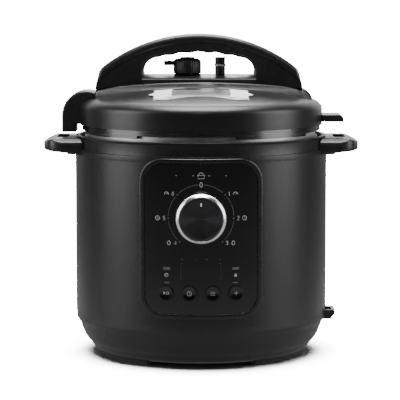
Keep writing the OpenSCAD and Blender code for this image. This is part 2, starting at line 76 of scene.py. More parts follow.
class Graph:
    """A material's node tree, with short calls to grow it."""

    def __init__(self, name: str) -> None:
        """Makes the material and keeps its shader.

        Args:
            name: name of the material.
        """
        self.material = bpy.data.materials.new(name)
        self.material.use_nodes = True
        self.tree = self.material.node_tree
        self.shader = self.tree.nodes["Principled BSDF"]
        self.coords = self.tree.nodes.new("ShaderNodeTexCoord").outputs["Object"]

    def node(self, kind: str, **settings: object) -> bpy.types.Node:
        """Adds a node and sets its options.

        Args:
            kind: Blender's name of the node's type.
            settings: the node's own options.
        Returns:
            The new node.
        """
        made = self.tree.nodes.new(kind)
        for key, value in settings.items():
            setattr(made, key, value)
        return made

    def join(self, source: bpy.types.NodeSocket, target: bpy.types.NodeSocket) -> None:
        """Links one socket to another."""
        self.tree.links.new(source, target)

    def noise(self, scale: float, detail: float = 2.0, coords: Optional[object] = None) -> object:
        """Adds a noise over the object's own coordinates.

        Args:
            scale: waves in a metre.
            detail: octaves of finer noise.
            coords: a vector to read in place of the object's coordinates.
        Returns:
            The noise's value, as a socket.
        """
        made = self.node("ShaderNodeTexNoise")
        made.inputs["Scale"].default_value = scale
        made.inputs["Detail"].default_value = detail
        self.join(coords or self.coords, made.inputs["Vector"])
        return made.outputs["Fac"]

    def maths(self, operation: str, *terms: object) -> object:
        """Adds a math node.

        Args:
            operation: Blender's name of the operation.
            terms: its inputs in order, each a socket or a number.
        Returns:
            The result, as a socket.
        """
        made = self.node("ShaderNodeMath", operation=operation)
        for term, target in zip(terms, made.inputs):
            if isinstance(term, (int, float)):
                target.default_value = term
            else:
                self.join(term, target)
        return made.outputs[0]

    def pack(self, *parts: object) -> object:
        """Gathers up to three sockets in a vector.

        Args:
            parts: the sockets; those left out are 0.
        Returns:
            The vector, as a socket.
        """
        made = self.node("ShaderNodeCombineXYZ")
        for part, target in zip(parts, made.inputs):
            self.join(part, target)
        return made.outputs[0]

    def length(self, vector: object) -> object:
        """Measures a vector, given and returned as sockets."""
        made = self.node("ShaderNodeVectorMath", operation="LENGTH")
        self.join(vector, made.inputs[0])
        return made.outputs["Value"]

    def spread(self, value: object, low: float, high: float,
               start: float = NOISE_LOW, end: float = NOISE_HIGH) -> object:
        """Maps a range, which is a noise's middle range if no other is given, onto low to high.

        Args:
            value: the socket to map.
            low: result where the value is at the range's start.
            high: result where the value is at the range's end.
            start: start of the range.
            end: end of the range.
        Returns:
            The mapped value, as a socket.
        """
        made = self.node("ShaderNodeMapRange")
        for name, number in (("From Min", start), ("From Max", end), ("To Min", low), ("To Max", high)):
            made.inputs[name].default_value = number
        self.join(value, made.inputs["Value"])
        return made.outputs["Result"]

    def tint(self, value: object, dark: Sequence[float], light: Sequence[float]) -> None:
        """Colours the surface between two shades.

        Args:
            value: the socket that picks the shade.
            dark: colour where the value is low.
            light: colour where the value is high.
        """
        ramp = self.node("ShaderNodeValToRGB")
        stops = ((NOISE_LOW, dark), (NOISE_HIGH, light))
        for element, (position, shade) in zip(ramp.color_ramp.elements, stops):
            element.position = position
            element.color = (*shade, 1.0)
        self.join(value, ramp.inputs["Fac"])
        self.join(ramp.outputs["Color"], self.shader.inputs["Base Color"])

    def emboss(self, height: object, depth: float, strength: float = 1.0) -> None:
        """Raises a height field on the surface, over any that is there already.

        Args:
            height: the socket that gives the height, from 0 to 1.
            depth: the height of 1, in metres.
            strength: share of the relief that shows.
        """
        bump = self.node("ShaderNodeBump")
        bump.inputs["Distance"].default_value = depth
        bump.inputs["Strength"].default_value = strength
        normal = self.shader.inputs["Normal"]
        if normal.is_linked:
            self.join(normal.links[0].from_socket, bump.inputs["Normal"])
        self.join(height, bump.inputs["Height"])
        self.join(bump.outputs["Normal"], normal)


@dataclass(frozen=True)
class Finish:
    """What a piece's surface is made of; the subclasses say how it is worked."""

    name: str
    colour: tuple[float, float, float]
    roughness: float = 0.4
    metallic: float = 0.0
    coat: float = 0.0
    specular: float = 0.5
    uneven: float = 0.05

    def shade(self, share: float) -> tuple[float, float, float]:
        """The finish's colour, made lighter or darker by a share."""
        return tuple(min(1.0, c * share) for c in self.colour)

    def work(self, graph: Graph) -> None:
        """Adds the surface's own marks; a plain finish has none."""

    def material(self) -> bpy.types.Material:
        """Makes the material, or finds it if a piece has it already.

        Returns:
            The material.
        """
        found = bpy.data.materials.get(self.name)
        if found:
            return found
        graph = Graph(self.name)
        shader = graph.shader
        shader.inputs["Metallic"].default_value = self.metallic
        shader.inputs["Specular IOR Level"].default_value = self.specular
        shader.inputs["Coat Weight"].default_value = self.coat
        shader.inputs["Coat Roughness"].default_value = 0.08
        cloud = graph.noise(38.0, 4.0)
        graph.tint(cloud, self.shade(0.86), self.shade(1.14))
        low = max(0.02, self.roughness - self.uneven)
        rough = graph.spread(graph.noise(160.0, 5.0), low, self.roughness + self.uneven)
        graph.join(rough, shader.inputs["Roughness"])
        self.work(graph)
        return graph.material


@dataclass(frozen=True)
class Moulded(Finish):
    """Plastic from a spark-eroded mould: a fine even grain."""

    grain: float = 2600.0
    depth: float = 0.00003

    def work(self, graph: Graph) -> None:
        """Embosses the grain, and the slow waves of a moulded wall."""
        graph.emboss(graph.noise(self.grain, 3.0), self.depth, 0.7)
        graph.emboss(graph.noise(24.0, 1.0), 0.00012, 0.35)


@dataclass(frozen=True)
class Enamel(Finish):
    """Satin paint on steel sheet: slight orange peel over a smooth wall."""

    peel: float = 620.0

    def work(self, graph: Graph) -> None:
        """Embosses the peel and a finer grit."""
        graph.emboss(graph.noise(self.peel, 2.0), 0.00004, 0.5)
        graph.emboss(graph.noise(3800.0, 2.0), 0.000012, 0.5)


@dataclass(frozen=True)
class Worked(Finish):
    """Metal with fine lines from brushing, turning or spinning."""

    lay: Lay = Lay.AROUND_Z
    pitch: float = 2400.0
    depth: float = 0.000012
    anisotropy: float = 0.0
    stretch: float = 0.02  # share of the noise's scale that is left along straight lines
    wrap: float = 0.002  # the same along round lines, for each radian

    def lines(self, graph: Graph) -> object:
        """Coordinates that are long along the lines and short across them.

        Args:
            graph: the material's tree.
        Returns:
            The vector, as a socket.
        """
        parts = graph.node("ShaderNodeSeparateXYZ")
        graph.join(graph.coords, parts.inputs[0])
        x, y, z = parts.outputs
        if self.lay is Lay.ALONG_X:
            return graph.pack(graph.maths("MULTIPLY", x, self.stretch), y, z)
        second, along = y, z
        if self.lay is Lay.AROUND_KNOB:
            second, along = graph.maths("SUBTRACT", z, middle("knob_ring")[2] * MM), y
        radius = graph.length(graph.pack(x, second))
        angle = graph.maths("ARCTAN2", second, x)
        return graph.pack(graph.maths("MULTIPLY", angle, self.wrap), radius, along)

    def work(self, graph: Graph) -> None:
        """Embosses the lines and lets them vary the gloss."""
        lines = graph.noise(self.pitch, 4.0, self.lines(graph))
        graph.emboss(lines, self.depth, 0.6)
        low = max(0.03, self.roughness - 1.6 * self.uneven)
        rough = graph.spread(lines, low, self.roughness + 1.6 * self.uneven)
        graph.join(rough, graph.shader.inputs["Roughness"])
        if self.anisotropy:
            graph.shader.inputs["Anisotropic"].default_value = self.anisotropy
            tangent = graph.node("ShaderNodeTangent", direction_type="RADIAL")
            tangent.axis = "Y" if self.lay is Lay.AROUND_KNOB else "Z"
            graph.join(tangent.outputs[0], graph.shader.inputs["Tangent"])


@dataclass(frozen=True)
class Plated(Finish):
    """Bright plating: smooth, with a faint ripple of the metal below."""

    def work(self, graph: Graph) -> None:
        """Embosses the ripple."""
        graph.emboss(graph.noise(240.0, 2.0), 0.00002, 0.25)


@dataclass(frozen=True)
class Soft(Finish):
    """Rubber or silicone: a dull skin with dust in it."""

    through: float = 0.0

    def work(self, graph: Graph) -> None:
        """Embosses a pebbled skin and lets some light through."""
        graph.emboss(graph.noise(1400.0, 3.0), 0.00005, 0.6)
        graph.shader.inputs["Subsurface Weight"].default_value = self.through
        graph.shader.inputs["Subsurface Scale"].default_value = 0.002


@dataclass(frozen=True)
class Printed(Finish):
    """Screen printing ink: a thin, slightly grainy film."""

    def work(self, graph: Graph) -> None:
        """Embosses the film's grain."""
        graph.emboss(graph.noise(3200.0, 2.0), 0.00001, 0.5)


@dataclass(frozen=True)
class Board(Finish):
    """Circuit board: solder mask with copper traces under it."""

    def work(self, graph: Graph) -> None:
        """Draws the traces as lighter, raised cells."""
        cells = graph.node("ShaderNodeTexVoronoi", feature="DISTANCE_TO_EDGE", distance="CHEBYCHEV")
        cells.inputs["Scale"].default_value = 210.0
        graph.join(graph.coords, cells.inputs["Vector"])
        graph.tint(graph.spread(cells.outputs["Distance"], 1.0, 0.0), self.colour, self.shade(1.9))
        graph.emboss(cells.outputs["Distance"], 0.00008, 0.6)


class Kit:
    """The finishes that the pieces share."""

    SLEEVE = Enamel("satin_black_enamel", (0.0075, 0.0075, 0.008), 0.33, specular=0.5, uneven=0.03)
    BODY = Moulded("spark_black_plastic", (0.0105, 0.0105, 0.011), 0.42)
    COLLAR = Moulded("collar_plastic", (0.009, 0.009, 0.0095), 0.36)
    HANDLE = Moulded("handle_plastic", (0.009, 0.009, 0.0095), 0.37, grain=3000.0)
    CAP = Moulded("handle_shell_plastic", (0.011, 0.011, 0.0115), 0.34, grain=3200.0)
    LID = Moulded("lid_cover_plastic", (0.008, 0.008, 0.0085), 0.34, uneven=0.02, depth=0.000005)
    BEZEL = Moulded("bezel_plastic", (0.0075, 0.0075, 0.008), 0.26, uneven=0.03, depth=0.000015)
    OVERLAY = Plated("polished_overlay", (0.004, 0.004, 0.0045), 0.16, coat=0.25, uneven=0.02)
    WINDOW = Plated("smoked_window", (0.0025, 0.0025, 0.004), 0.08, coat=0.4, uneven=0.01)
    KEY = Plated("polished_key", (0.0055, 0.0055, 0.006), 0.18, coat=0.2, uneven=0.02)
    LAMP = Soft("frosted_lamp", (0.12, 0.12, 0.125), 0.35, through=0.1)
    INK = Printed("light_grey_ink", (0.52, 0.52, 0.53), 0.5)
    FAINT_INK = Printed("faint_grey_ink", (0.12, 0.12, 0.123), 0.5)
    WHITE_INK = Printed("white_ink", (0.86, 0.86, 0.86), 0.5)
    RUBBER = Soft("foot_rubber", (0.012, 0.012, 0.0125), 0.8)
    SILICONE = Soft("seal_silicone", (0.62, 0.6, 0.56), 0.45, through=0.35)
    KNURL = Plated("bright_knurl", (0.86, 0.87, 0.88), 0.14, metallic=1.0, uneven=0.03)
    FLOAT = Plated("polished_pin", (0.8, 0.81, 0.82), 0.42, metallic=1.0, uneven=0.05)
    SPUN = Worked("dark_spun_metal", (0.075, 0.076, 0.08), 0.34, 1.0, lay=Lay.AROUND_KNOB,
                  pitch=2600.0, anisotropy=0.85)
    # painted shade: this steel is coloured far darker than bare steel, to stand for the shade in the recess
    # under the lid's cover
    SHADED_LID_STEEL = Worked("pressed_steel_painted_shade", (0.1, 0.1, 0.103), 0.26, 1.0, uneven=0.06)
    POT_STEEL = Worked("brushed_pot_steel", (0.62, 0.62, 0.63), 0.24, 1.0, uneven=0.05)
    SCREW = Worked("zinc_plate", (0.58, 0.58, 0.59), 0.3, 1.0, lay=Lay.ALONG_X, uneven=0.08)
    SPUN_POT = Worked("dull_aluminium", (0.6, 0.61, 0.62), 0.42, 1.0, pitch=1500.0)
    PLATE = Worked("turned_aluminium", (0.52, 0.52, 0.53), 0.36, 1.0, pitch=1100.0, depth=0.00003)
    LABEL = Worked("foil_plate", (0.5, 0.5, 0.51), 0.33, 0.9, lay=Lay.ALONG_X)
    BRASS = Worked("bare_brass", (0.62, 0.45, 0.16), 0.25, 1.0, lay=Lay.ALONG_X)
    SLEEVING = Soft("woven_sleeving", (0.5, 0.45, 0.33), 0.8)
    CREAM = Moulded("switch_plastic", (0.62, 0.57, 0.44), 0.4)
    MASK = Board("solder_mask", (0.012, 0.09, 0.03), 0.3)
    PARTS = Moulded("component_plastic", (0.02, 0.02, 0.022), 0.4)
    SMOKE = Moulded("smoked_cup_plastic", (0.03, 0.03, 0.033), 0.22, depth=0.00001)


# ------------------------------------------------------------------ shapes


def box_mm(node: str) -> tuple[Point3, Point3]:
    """Lowest and highest corner of a CAD node, in millimetres."""
    low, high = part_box(node)
    return tuple(v / MM for v in low), tuple(v / MM for v in high)


def middle(node: str) -> Point3:
    """Middle of a CAD node's box, in millimetres."""
    low, high = box_mm(node)
    return tuple((a + b) / 2 for a, b in zip(low, high))


def upright(u: float, angle: float, height: float) -> Point3:
    """Places a turned shape's point about the upright axis, its angle from the front.

    Args:
        u: distance from the axis.
        angle: angle from the front, in radians.
        height: height above the floor.
    Returns:
        The point.
    """
    return (u * math.sin(angle), -u * math.cos(angle), height)


def soften(points: Sequence[Point], radius: float, steps: int = 3, closed: bool = True) -> list[Point]:
    """Rounds the corners of an outline.

    Args:
        points: the outline's corners.
        radius: how far from a corner the rounding starts, at most.
        steps: stretches in each rounding.
        closed: whether the last point joins the first.
    Returns:
        The rounded outline.
    """
    rounded = []
    for i, (x, y) in enumerate(points):
        if not closed and i in (0, len(points) - 1):
            rounded.append((x, y))
            continue
        ends = []
        for px, py in (points[i - 1], points[(i + 1) % len(points)]):
            far = max(math.hypot(px - x, py - y), 1e-9)
            share = min(radius, 0.45 * far) / far
            ends.append((x + (px - x) * share, y + (py - y) * share))
        for k in range(steps + 1):
            t = k / steps
            weights = ((1 - t) ** 2, 2 * t * (1 - t), t * t)
            trio = (ends[0], (x, y), ends[1])
            rounded.append(tuple(sum(w * p[a] for w, p in zip(weights, trio)) for a in (0, 1)))
    return rounded


def rounded_box(width: float, height: float, corner: float, steps: int = 10) -> list[Point]:
    """Outline of a box with round corners, anticlockwise from its right side.

    Args:
        width: whole width.
        height: whole height.
        corner: radius of the corners.
        steps: stretches in each corner.
    Returns:
        The outline, centred.
    """
    outline = []
    for quarter, (sx, sy) in enumerate(((1, 1), (-1, 1), (-1, -1), (1, -1))):
        for k in range(steps + 1):
            turn = math.radians(90 * (quarter + k / steps))
            outline.append((sx * (width / 2 - corner) + corner * math.cos(turn),
                            sy * (height / 2 - corner) + corner * math.sin(turn)))
    return outline


def lowest(values: Sequence[float], blend: float) -> float:
    """Smooth minimum of some numbers.

    Args:
        values: the numbers.
        blend: how far apart two numbers still blend.
    Returns:
        A number that is at or a little under the least of them.
    """
    least = min(values)
    return least - blend * math.log(sum(math.exp((least - value) / blend) for value in values))


def inward(outline: Sequence[Point]) -> list[Point]:
    """Unit normals of an outline that point into it, one for each point."""
    count = len(outline)
    area = sum(outline[i - 1][0] * outline[i][1] - outline[i][0] * outline[i - 1][1]
               for i in range(count))
    sign = 1.0 if area > 0 else -1.0
    normals = []
    for i in range(count):
        (ax, ay), (bx, by) = outline[i - 1], outline[(i + 1) % count]
        far = max(math.hypot(bx - ax, by - ay), 1e-9)
        normals.append((-sign * (by - ay) / far, sign * (bx - ax) / far))
    return normals


@dataclass
class Shape:
    """A mesh in millimetres, before it becomes a piece."""

    points: list[Point3] = field(default_factory=list)
    faces: list[tuple[int, ...]] = field(default_factory=list)

    def skin(self, rings: Sequence[Sequence[Point3]], loop: bool = False) -> "Shape":
        """Covers a row of rings that all have the same number of points.

        Args:
            rings: the rings, in order.
            loop: joins the last ring to the first; otherwise both ends are capped.
        Returns:
            The shape itself.
        """
        start, count = len(self.points), len(rings[0])
        for ring in rings:
            self.points.extend(ring)
        for i in range(len(rings) if loop else len(rings) - 1):
            a = start + i * count
            b = start + (i + 1) % len(rings) * count
            for k in range(count):
                n = (k + 1) % count
                self.faces.append((a + k, a + n, b + n, b + k))
        if not loop:
            self.faces.append(tuple(range(start, start + count)))
            last = start + (len(rings) - 1) * count
            self.faces.append(tuple(range(last, last + count)))
        return self

    def turn(self, profile: Sequence[Point], segments: int = 160, place: Place = upright,
             flutes: Optional[Callable[[float, float, float], float]] = None) -> "Shape":
        """Turns a closed profile of radius and height about an axis.

        Args:
            profile: the profile's points.
            segments: steps round the axis.
            place: puts radius, angle and height in space.
            flutes: gives what to add to the radius, from radius, height and angle.
        Returns:
            The shape itself.
        """
        rings = []
        for i in range(segments):
            angle = 2 * math.pi * i / segments
            rings.append([place(r + (flutes(r, h, angle) if flutes else 0.0), angle, h)
                          for r, h in profile])
        return self.skin(rings, loop=True)

    def slab(self, outline: Sequence[Point], low: float, high: float, edge: float, place: Place,
             shares: Optional[Sequence[float]] = None, steps: int = 4) -> "Shape":
        """Carries a flat outline from low to high and rounds the edges of both faces.

        Args:
            outline: the outline's points.
            low: where the first face is.
            high: where the second face is.
            edge: radius of the rounded edges.
            place: puts the outline's two coordinates and the depth in space.
            shares: how much of the rounding each point takes, from 0 to 1.
            steps: stretches in each rounding.
        Returns:
            The shape itself.
        """
        normals = inward(outline)
        weights = shares or [1.0] * len(outline)
        stations = []
        for k in range(steps + 1):
            turn = math.pi / 2 * k / steps
            stations.append((low + edge * (1 - math.sin(turn)), edge * (1 - math.cos(turn))))
        stations = stations[::-1] + [(low + high - d, inset) for d, inset in stations]
        rings = []
        for depth, inset in stations:
            rings.append([place(p[0] + n[0] * w * inset, p[1] + n[1] * w * inset, depth)
                          for p, n, w in zip(outline, normals, weights)])
        return self.skin(rings)

    def pillow(self, outline: Sequence[Point], height: float, edge: float, place: Place,
               rows: int = 8) -> "Shape":
        """Lays a thin sheet on a curved surface.

        Args:
            outline: the sheet's outline, about its own middle.
            height: its thickness.
            edge: inset of the top face's edge.
            place: puts the outline's two coordinates and the height in space.
            rows: rings between the edge and the middle.
        Returns:
            The shape itself.
        """
        reach = max(math.hypot(*p) for p in outline)
        shrinks = [1 - k / rows for k in range(rows)] + [0.004]
        top = [(s * (1 - edge / reach), height) for s in shrinks]
        bottom = [(s, 0.0) for s in reversed(shrinks)]
        rings = [[place(p[0] * s, p[1] * s, h) for p in outline]
                 for s, h in bottom + [(1.0, height - edge)] + top]
        return self.skin(rings)

    def piece(self, name: str, finish: Finish, body: str, slot: str,
              replaces: Sequence[str] = (), sharp: float = 34.0,
              cutters: Sequence["Shape"] = ()) -> bpy.types.Object:
        """Makes the mesh an object that rides on a CAD body.

        Args:
            name: the piece's name.
            finish: its finish.
            body: the CAD body that it moves with.
            slot: the record's material slot; not used.
            replaces: CAD nodes that it stands for.
            sharp: angle over which an edge stays sharp, in degrees.
            cutters: shapes to cut out of it.
        Returns:
            The new object.
        """
        mesh = bpy.data.meshes.new(name)
        mesh.from_pydata([tuple(v * MM for v in p) for p in self.points], [], self.faces)
        tidy(mesh)
        made = bpy.data.objects.new(name, mesh)
        bpy.context.scene.collection.objects.link(made)
        for cutter in cutters:
            carve(made, cutter)
        mesh = made.data
        for polygon in mesh.polygons:
            polygon.use_smooth = True
        mesh.set_sharp_from_angle(angle=math.radians(sharp))
        mesh.materials.clear()
        mesh.materials.append(finish.material())
        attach(made, body)
        if replaces:
            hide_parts(*replaces)
        LOG.info("%s: %d faces, on %s", name, len(mesh.polygons), body)
        return made


def tidy(mesh: bpy.types.Mesh) -> None:
    """Merges double points and turns all faces outwards."""
    work = bmesh.new()
    work.from_mesh(mesh)
    bmesh.ops.remove_doubles(work, verts=work.verts, dist=WELD)
    bmesh.ops.recalc_face_normals(work, faces=work.faces)
    work.to_mesh(mesh)
    work.free()


def carve(target: bpy.types.Object, cutter: Shape) -> None:
    """Cuts a shape out of an object and keeps the result as its mesh.

    Args:
        target: the object to cut.
        cutter: the shape to take away.
    """
    mesh = bpy.data.meshes.new("cutter")
    mesh.from_pydata([tuple(v * MM for v in p) for p in cutter.points], [], cutter.faces)
    tidy(mesh)
    tool = bpy.data.objects.new("cutter", mesh)
    bpy.context.scene.collection.objects.link(tool)
    cut = target.modifiers.new("cut", "BOOLEAN")
    cut.operation = "DIFFERENCE"
    cut.solver = "EXACT"
    cut.object = tool
    graph = bpy.context.evaluated_depsgraph_get()
    result = bpy.data.meshes.new_from_object(target.evaluated_get(graph))
    target.modifiers.clear()
    target.data = result
    bpy.data.objects.remove(tool)


def block(low: Point3, high: Point3) -> Shape:
    """A square-edged block between two corners, for cutting.

    Args:
        low: the corner with the lowest coordinates.
        high: the corner with the highest.
    Returns:
        The block.
    """
    corners = ((low[0], low[1]), (high[0], low[1]), (high[0], high[1]), (low[0], high[1]))
    return Shape().skin([[(x, y, z) for x, y in corners] for z in (low[2], high[2])])


def peg(x: float, y: float, radius: float, low: float, high: float) -> Shape:
    """An upright round peg, for cutting.

    Args:
        x: its axis's place across.
        y: its axis's place in depth.
        radius: its radius.
        low: height of its lower end.
        high: height of its upper end.
    Returns:
        The peg.
    """
    turn = [2 * math.pi * k / 48 for k in range(48)]
    rings = [[(x + radius * math.cos(a), y + radius * math.sin(a), z) for a in turn] for z in (low, high)]
    return Shape().skin(rings)


def dress(node: str, finish: Finish, edge: float = 0.0) -> None:
    """Gives a CAD node that stays its finish and, if asked, rounded edges.

    Args:
        node: the CAD node.
        finish: its finish.
        edge: width of the rounding of its edges.
    """
    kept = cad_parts[node]
    if not kept.material_slots:
        kept.data.materials.append(None)
    for place in kept.material_slots:
        place.material = finish.material()
    if edge:
        weld = kept.modifiers.new("weld", "WELD")
        weld.merge_threshold = WELD
        bevel = kept.modifiers.new("edges", "BEVEL")
        bevel.width = edge * MM
        bevel.segments = 3
        bevel.limit_method = "ANGLE"
        bevel.angle_limit = math.radians(40)
        bevel.harden_normals = False
    LOG.info("%s: kept from the frame", node)


# ----------------------------------------------------------------- housing


@dataclass
class Housing:
    """The fixed shell: bowl, sleeve, collar, side handles and what is screwed to them."""

    bowl: Sequence[Point] = ((0, 46.5), (0, 39.5), (3.8, 34), (5.2, 29.5), (7.2, 24), (9.4, 19.8),
                             (12, 16.4), (15.6, 12.6), (16.8, 10.6), (19.6, 7), (24, 5))
    bowl_wall: float = 2.8
    floor: float = 8.0
    vents: int = 9
    vent_step: float = 10.0
    vent_size: Point = (4.0, 60.0)
    screw_at: Point = (60.0, 56.0)
    screw_head: float = 4.2
    socket: tuple[float, float, float] = (12.4, 42.0, 2.0)
    socket_x: float = 149.2
    handle_half: float = 46.0
    handle_inner: float = 131.0
    tip_bevel: tuple[float, float, float] = (157.0, 5.0, 12.8)  # start, fall and run
    side_bevel: tuple[float, float, float] = (38.0, 4.2, 8.0)  # the same from the centre line
    handle_blend: float = 0.35
    handle_edge: float = 1.2
    handle_rows: int = 20
    handle_points: int = 168

    def build_bowl(self) -> None:
        """Turns the base bowl, with its vents, screw wells and the window for the inlet."""
        radius = box_mm("base_shell")[1][0]
        outer = soften([(radius - inset, z) for inset, z in self.bowl], 1.6, closed=False)
        inner = [(max(r - self.bowl_wall, 1.0), max(z + 1.2, self.floor)) for r, z in outer[:-1]]
        profile = [*outer, (AXIS_HOLE, outer[-1][1]), (AXIS_HOLE, self.floor), *reversed(inner)]
        half = (self.vents - 1) / 2
        wide, deep = self.vent_size[0] / 2, self.vent_size[1] / 2
        cutters = [block((x - wide, -deep, 0), (x + wide, deep, 12))
                   for x in ((i - half) * self.vent_step for i in range(self.vents))]
        cutters += [peg(sx * self.screw_at[0], sy * self.screw_at[1], self.screw_head, 0, 6.6)
                    for sx in (-1, 1) for sy in (-1, 1)]
        low, high = box_mm("power_inlet")
        cutters.append(block((low[0] - 0.3, 100, low[2] - 0.3), (high[0] + 0.3, 150, high[2] + 0.3)))
        Shape().turn(profile, 192).piece("base_bowl", Kit.BODY, "housing", "matte_black",
                                         ["base_shell"], cutters=cutters)

    def build_collar(self) -> None:
        """Turns the collar with its lip and the trough that catches condensed water."""
        low, high = box_mm("collar_ring")
        wall, top = high[0] - 2.0, high[2]
        step = box_mm("housing_sleeve")[1][2]
        profile = [(wall - 2.5, low[2]), (high[0] + 1.0, low[2]), (high[0] + 1.0, step), (wall, step),
                   (wall, top - 2.6), (wall + 2, top - 1.3), (wall + 2, top), (wall - 2, top),
                   (wall - 2, 227.5), (125.6, 227.5), (125.6, top - 1.1), (123.7, top - 1.1),
                   (123.7, 224.5), (wall - 2.5, 224.5)]
        drain = block((-5, 126, 229), (5, 140, 232))
        Shape().turn(soften(profile, 0.45), 192).piece("collar", Kit.COLLAR, "housing", "collar_black",
                                                       ["collar_ring"], cutters=[drain])

    def handle_top(self, x: float, y: float, edge: float) -> float:
        """Height of a side handle's upper face, with its bevels blended in.

        Args:
            x: distance from the middle.
            y: distance from the handle's centre line.
            edge: how far in from the handle's edge the point is.
        Returns:
            The height.
        """
        top = box_mm("side_handle_left")[1][2]
        planes = [top]
        for reach, (start, fall, run) in ((x, self.tip_bevel), (abs(y), self.side_bevel)):
            planes.append(top - (reach - start) * fall / run)
        return lowest(planes, self.handle_blend) - 0.9 * (1 - min(edge / 1.1, 1.0)) ** 2

    def build_side_handle(self, side: int, name: str, node: str) -> None:
        """Lofts one side handle round its socket.

        Args:
            side: -1 for the left one, 1 for the right one.
            name: the piece's name.
            node: the CAD node that it replaces.
        """
        reach = max(abs(v[0]) for v in box_mm(node))
        half = self.handle_half
        tip = [(124, -half), (150, -half), (157.5, -0.94 * half), (163, -0.82 * half), (167.5, -0.58 * half),
               (reach, -0.24 * half), (reach, 0.24 * half), (167.5, 0.58 * half), (163, 0.82 * half),
               (157.5, 0.94 * half), (150, half), (124, half)]
        rows = 40
        back = [(math.sqrt(self.handle_inner ** 2 - y * y), y)
                for y in (half - 2 * half * k / rows for k in range(1, rows))]
        outline = soften(tip, 3.0) + back
        outer = self.around(outline, self.handle_points)
        socket = [(self.socket_x + u, v) for u, v in rounded_box(*self.socket)]
        inner = self.around(socket, self.handle_points)
        rings = []

        def ring(share: float, inset: float, level: Callable[[float, float], float]) -> None:
            """Adds a ring between the outer edge and the socket."""
            row = []
            for (ax, ay), (bx, by) in zip(outer, inner):
                far = max(math.hypot(bx - ax, by - ay), 1e-6)
                t = share + inset / far
                x, y = ax + (bx - ax) * t, ay + (by - ay) * t
                row.append((side * x, y, level(x, y)))
            rings.append(row)

        def under(x: float, y: float) -> float:
            """Height of the underside."""
            return 215.6 + (x - 118) * 0.128 + max(0.0, abs(y) - 40) * 0.12

        for share, inset, lift in ((1.0, 0.0, 0.0), (0.0, 1.0, 0.0), (0.0, 0.25, 0.25), (0.0, 0.0, 1.0)):
            ring(share, inset, lambda x, y, up=lift: under(x, y) + up)
        for inset in (0.0, 0.1, 0.35, 0.7, self.handle_edge):
            ring(0.0, inset, lambda x, y, edge=inset: self.handle_top(x, y, edge))
        for share in (k / self.handle_rows for k in range(1, self.handle_rows)):
            ring(share, self.handle_edge * (1 - share), lambda x, y: self.handle_top(x, y, 2.0))
        for inset, drop in ((-0.5, 0.0), (-0.15, 0.12), (0.0, 0.5)):
            ring(1.0, inset, lambda x, y, down=drop: self.handle_top(x, y, 2.0) - down)
        Shape().skin(rings, loop=True).piece(
            name, Kit.HANDLE, "housing", "matte_black", [node], sharp=28)

    def around(self, outline: Sequence[Point], count: int) -> list[Point]:
        """Points of an outline at even angles about the socket's middle.

        Args:
            outline: the outline, which goes once round the socket.
            count: how many points.
        Returns:
            The points, anticlockwise.
        """
        found = []
        for i in range(count):
            turn = 2 * math.pi * i / count
            dx, dy = math.cos(turn), math.sin(turn)
            best = None
            for (ax, ay), (bx, by) in zip(outline, [*outline[1:], outline[0]]):
                ax, bx = ax - self.socket_x, bx - self.socket_x
                cross = dx * (by - ay) - dy * (bx - ax)
                if abs(cross) < 1e-9:
                    continue
                far = (ax * (by - ay) - ay * (bx - ax)) / cross
                along = (ax * dy - ay * dx) / cross
                if far > 0 and -1e-6 <= along <= 1 + 1e-6:
                    best = far if best is None else max(best, far)
            found.append((self.socket_x + dx * best, dy * best))
        return found

    def build(self) -> None:
        """Builds the shell and dresses the nodes that stay."""
        self.build_bowl()
        self.build_collar()
        self.build_side_handle(-1, "left_handle", "side_handle_left")
        self.build_side_handle(1, "right_handle", "side_handle_right")
        dress("housing_sleeve", Kit.SLEEVE)
        dress("feet", Kit.RUBBER, 0.6)
        dress("ladle_holder", Kit.BODY, 0.6)
        dress("power_inlet", Kit.BODY, 0.5)
        dress("inlet_pins", Kit.BRASS)
        dress("collector_bracket", Kit.BODY, 0.5)
        dress("condensation_collector", Kit.SMOKE, 0.7)


# ------------------------------------------------------------------- panel


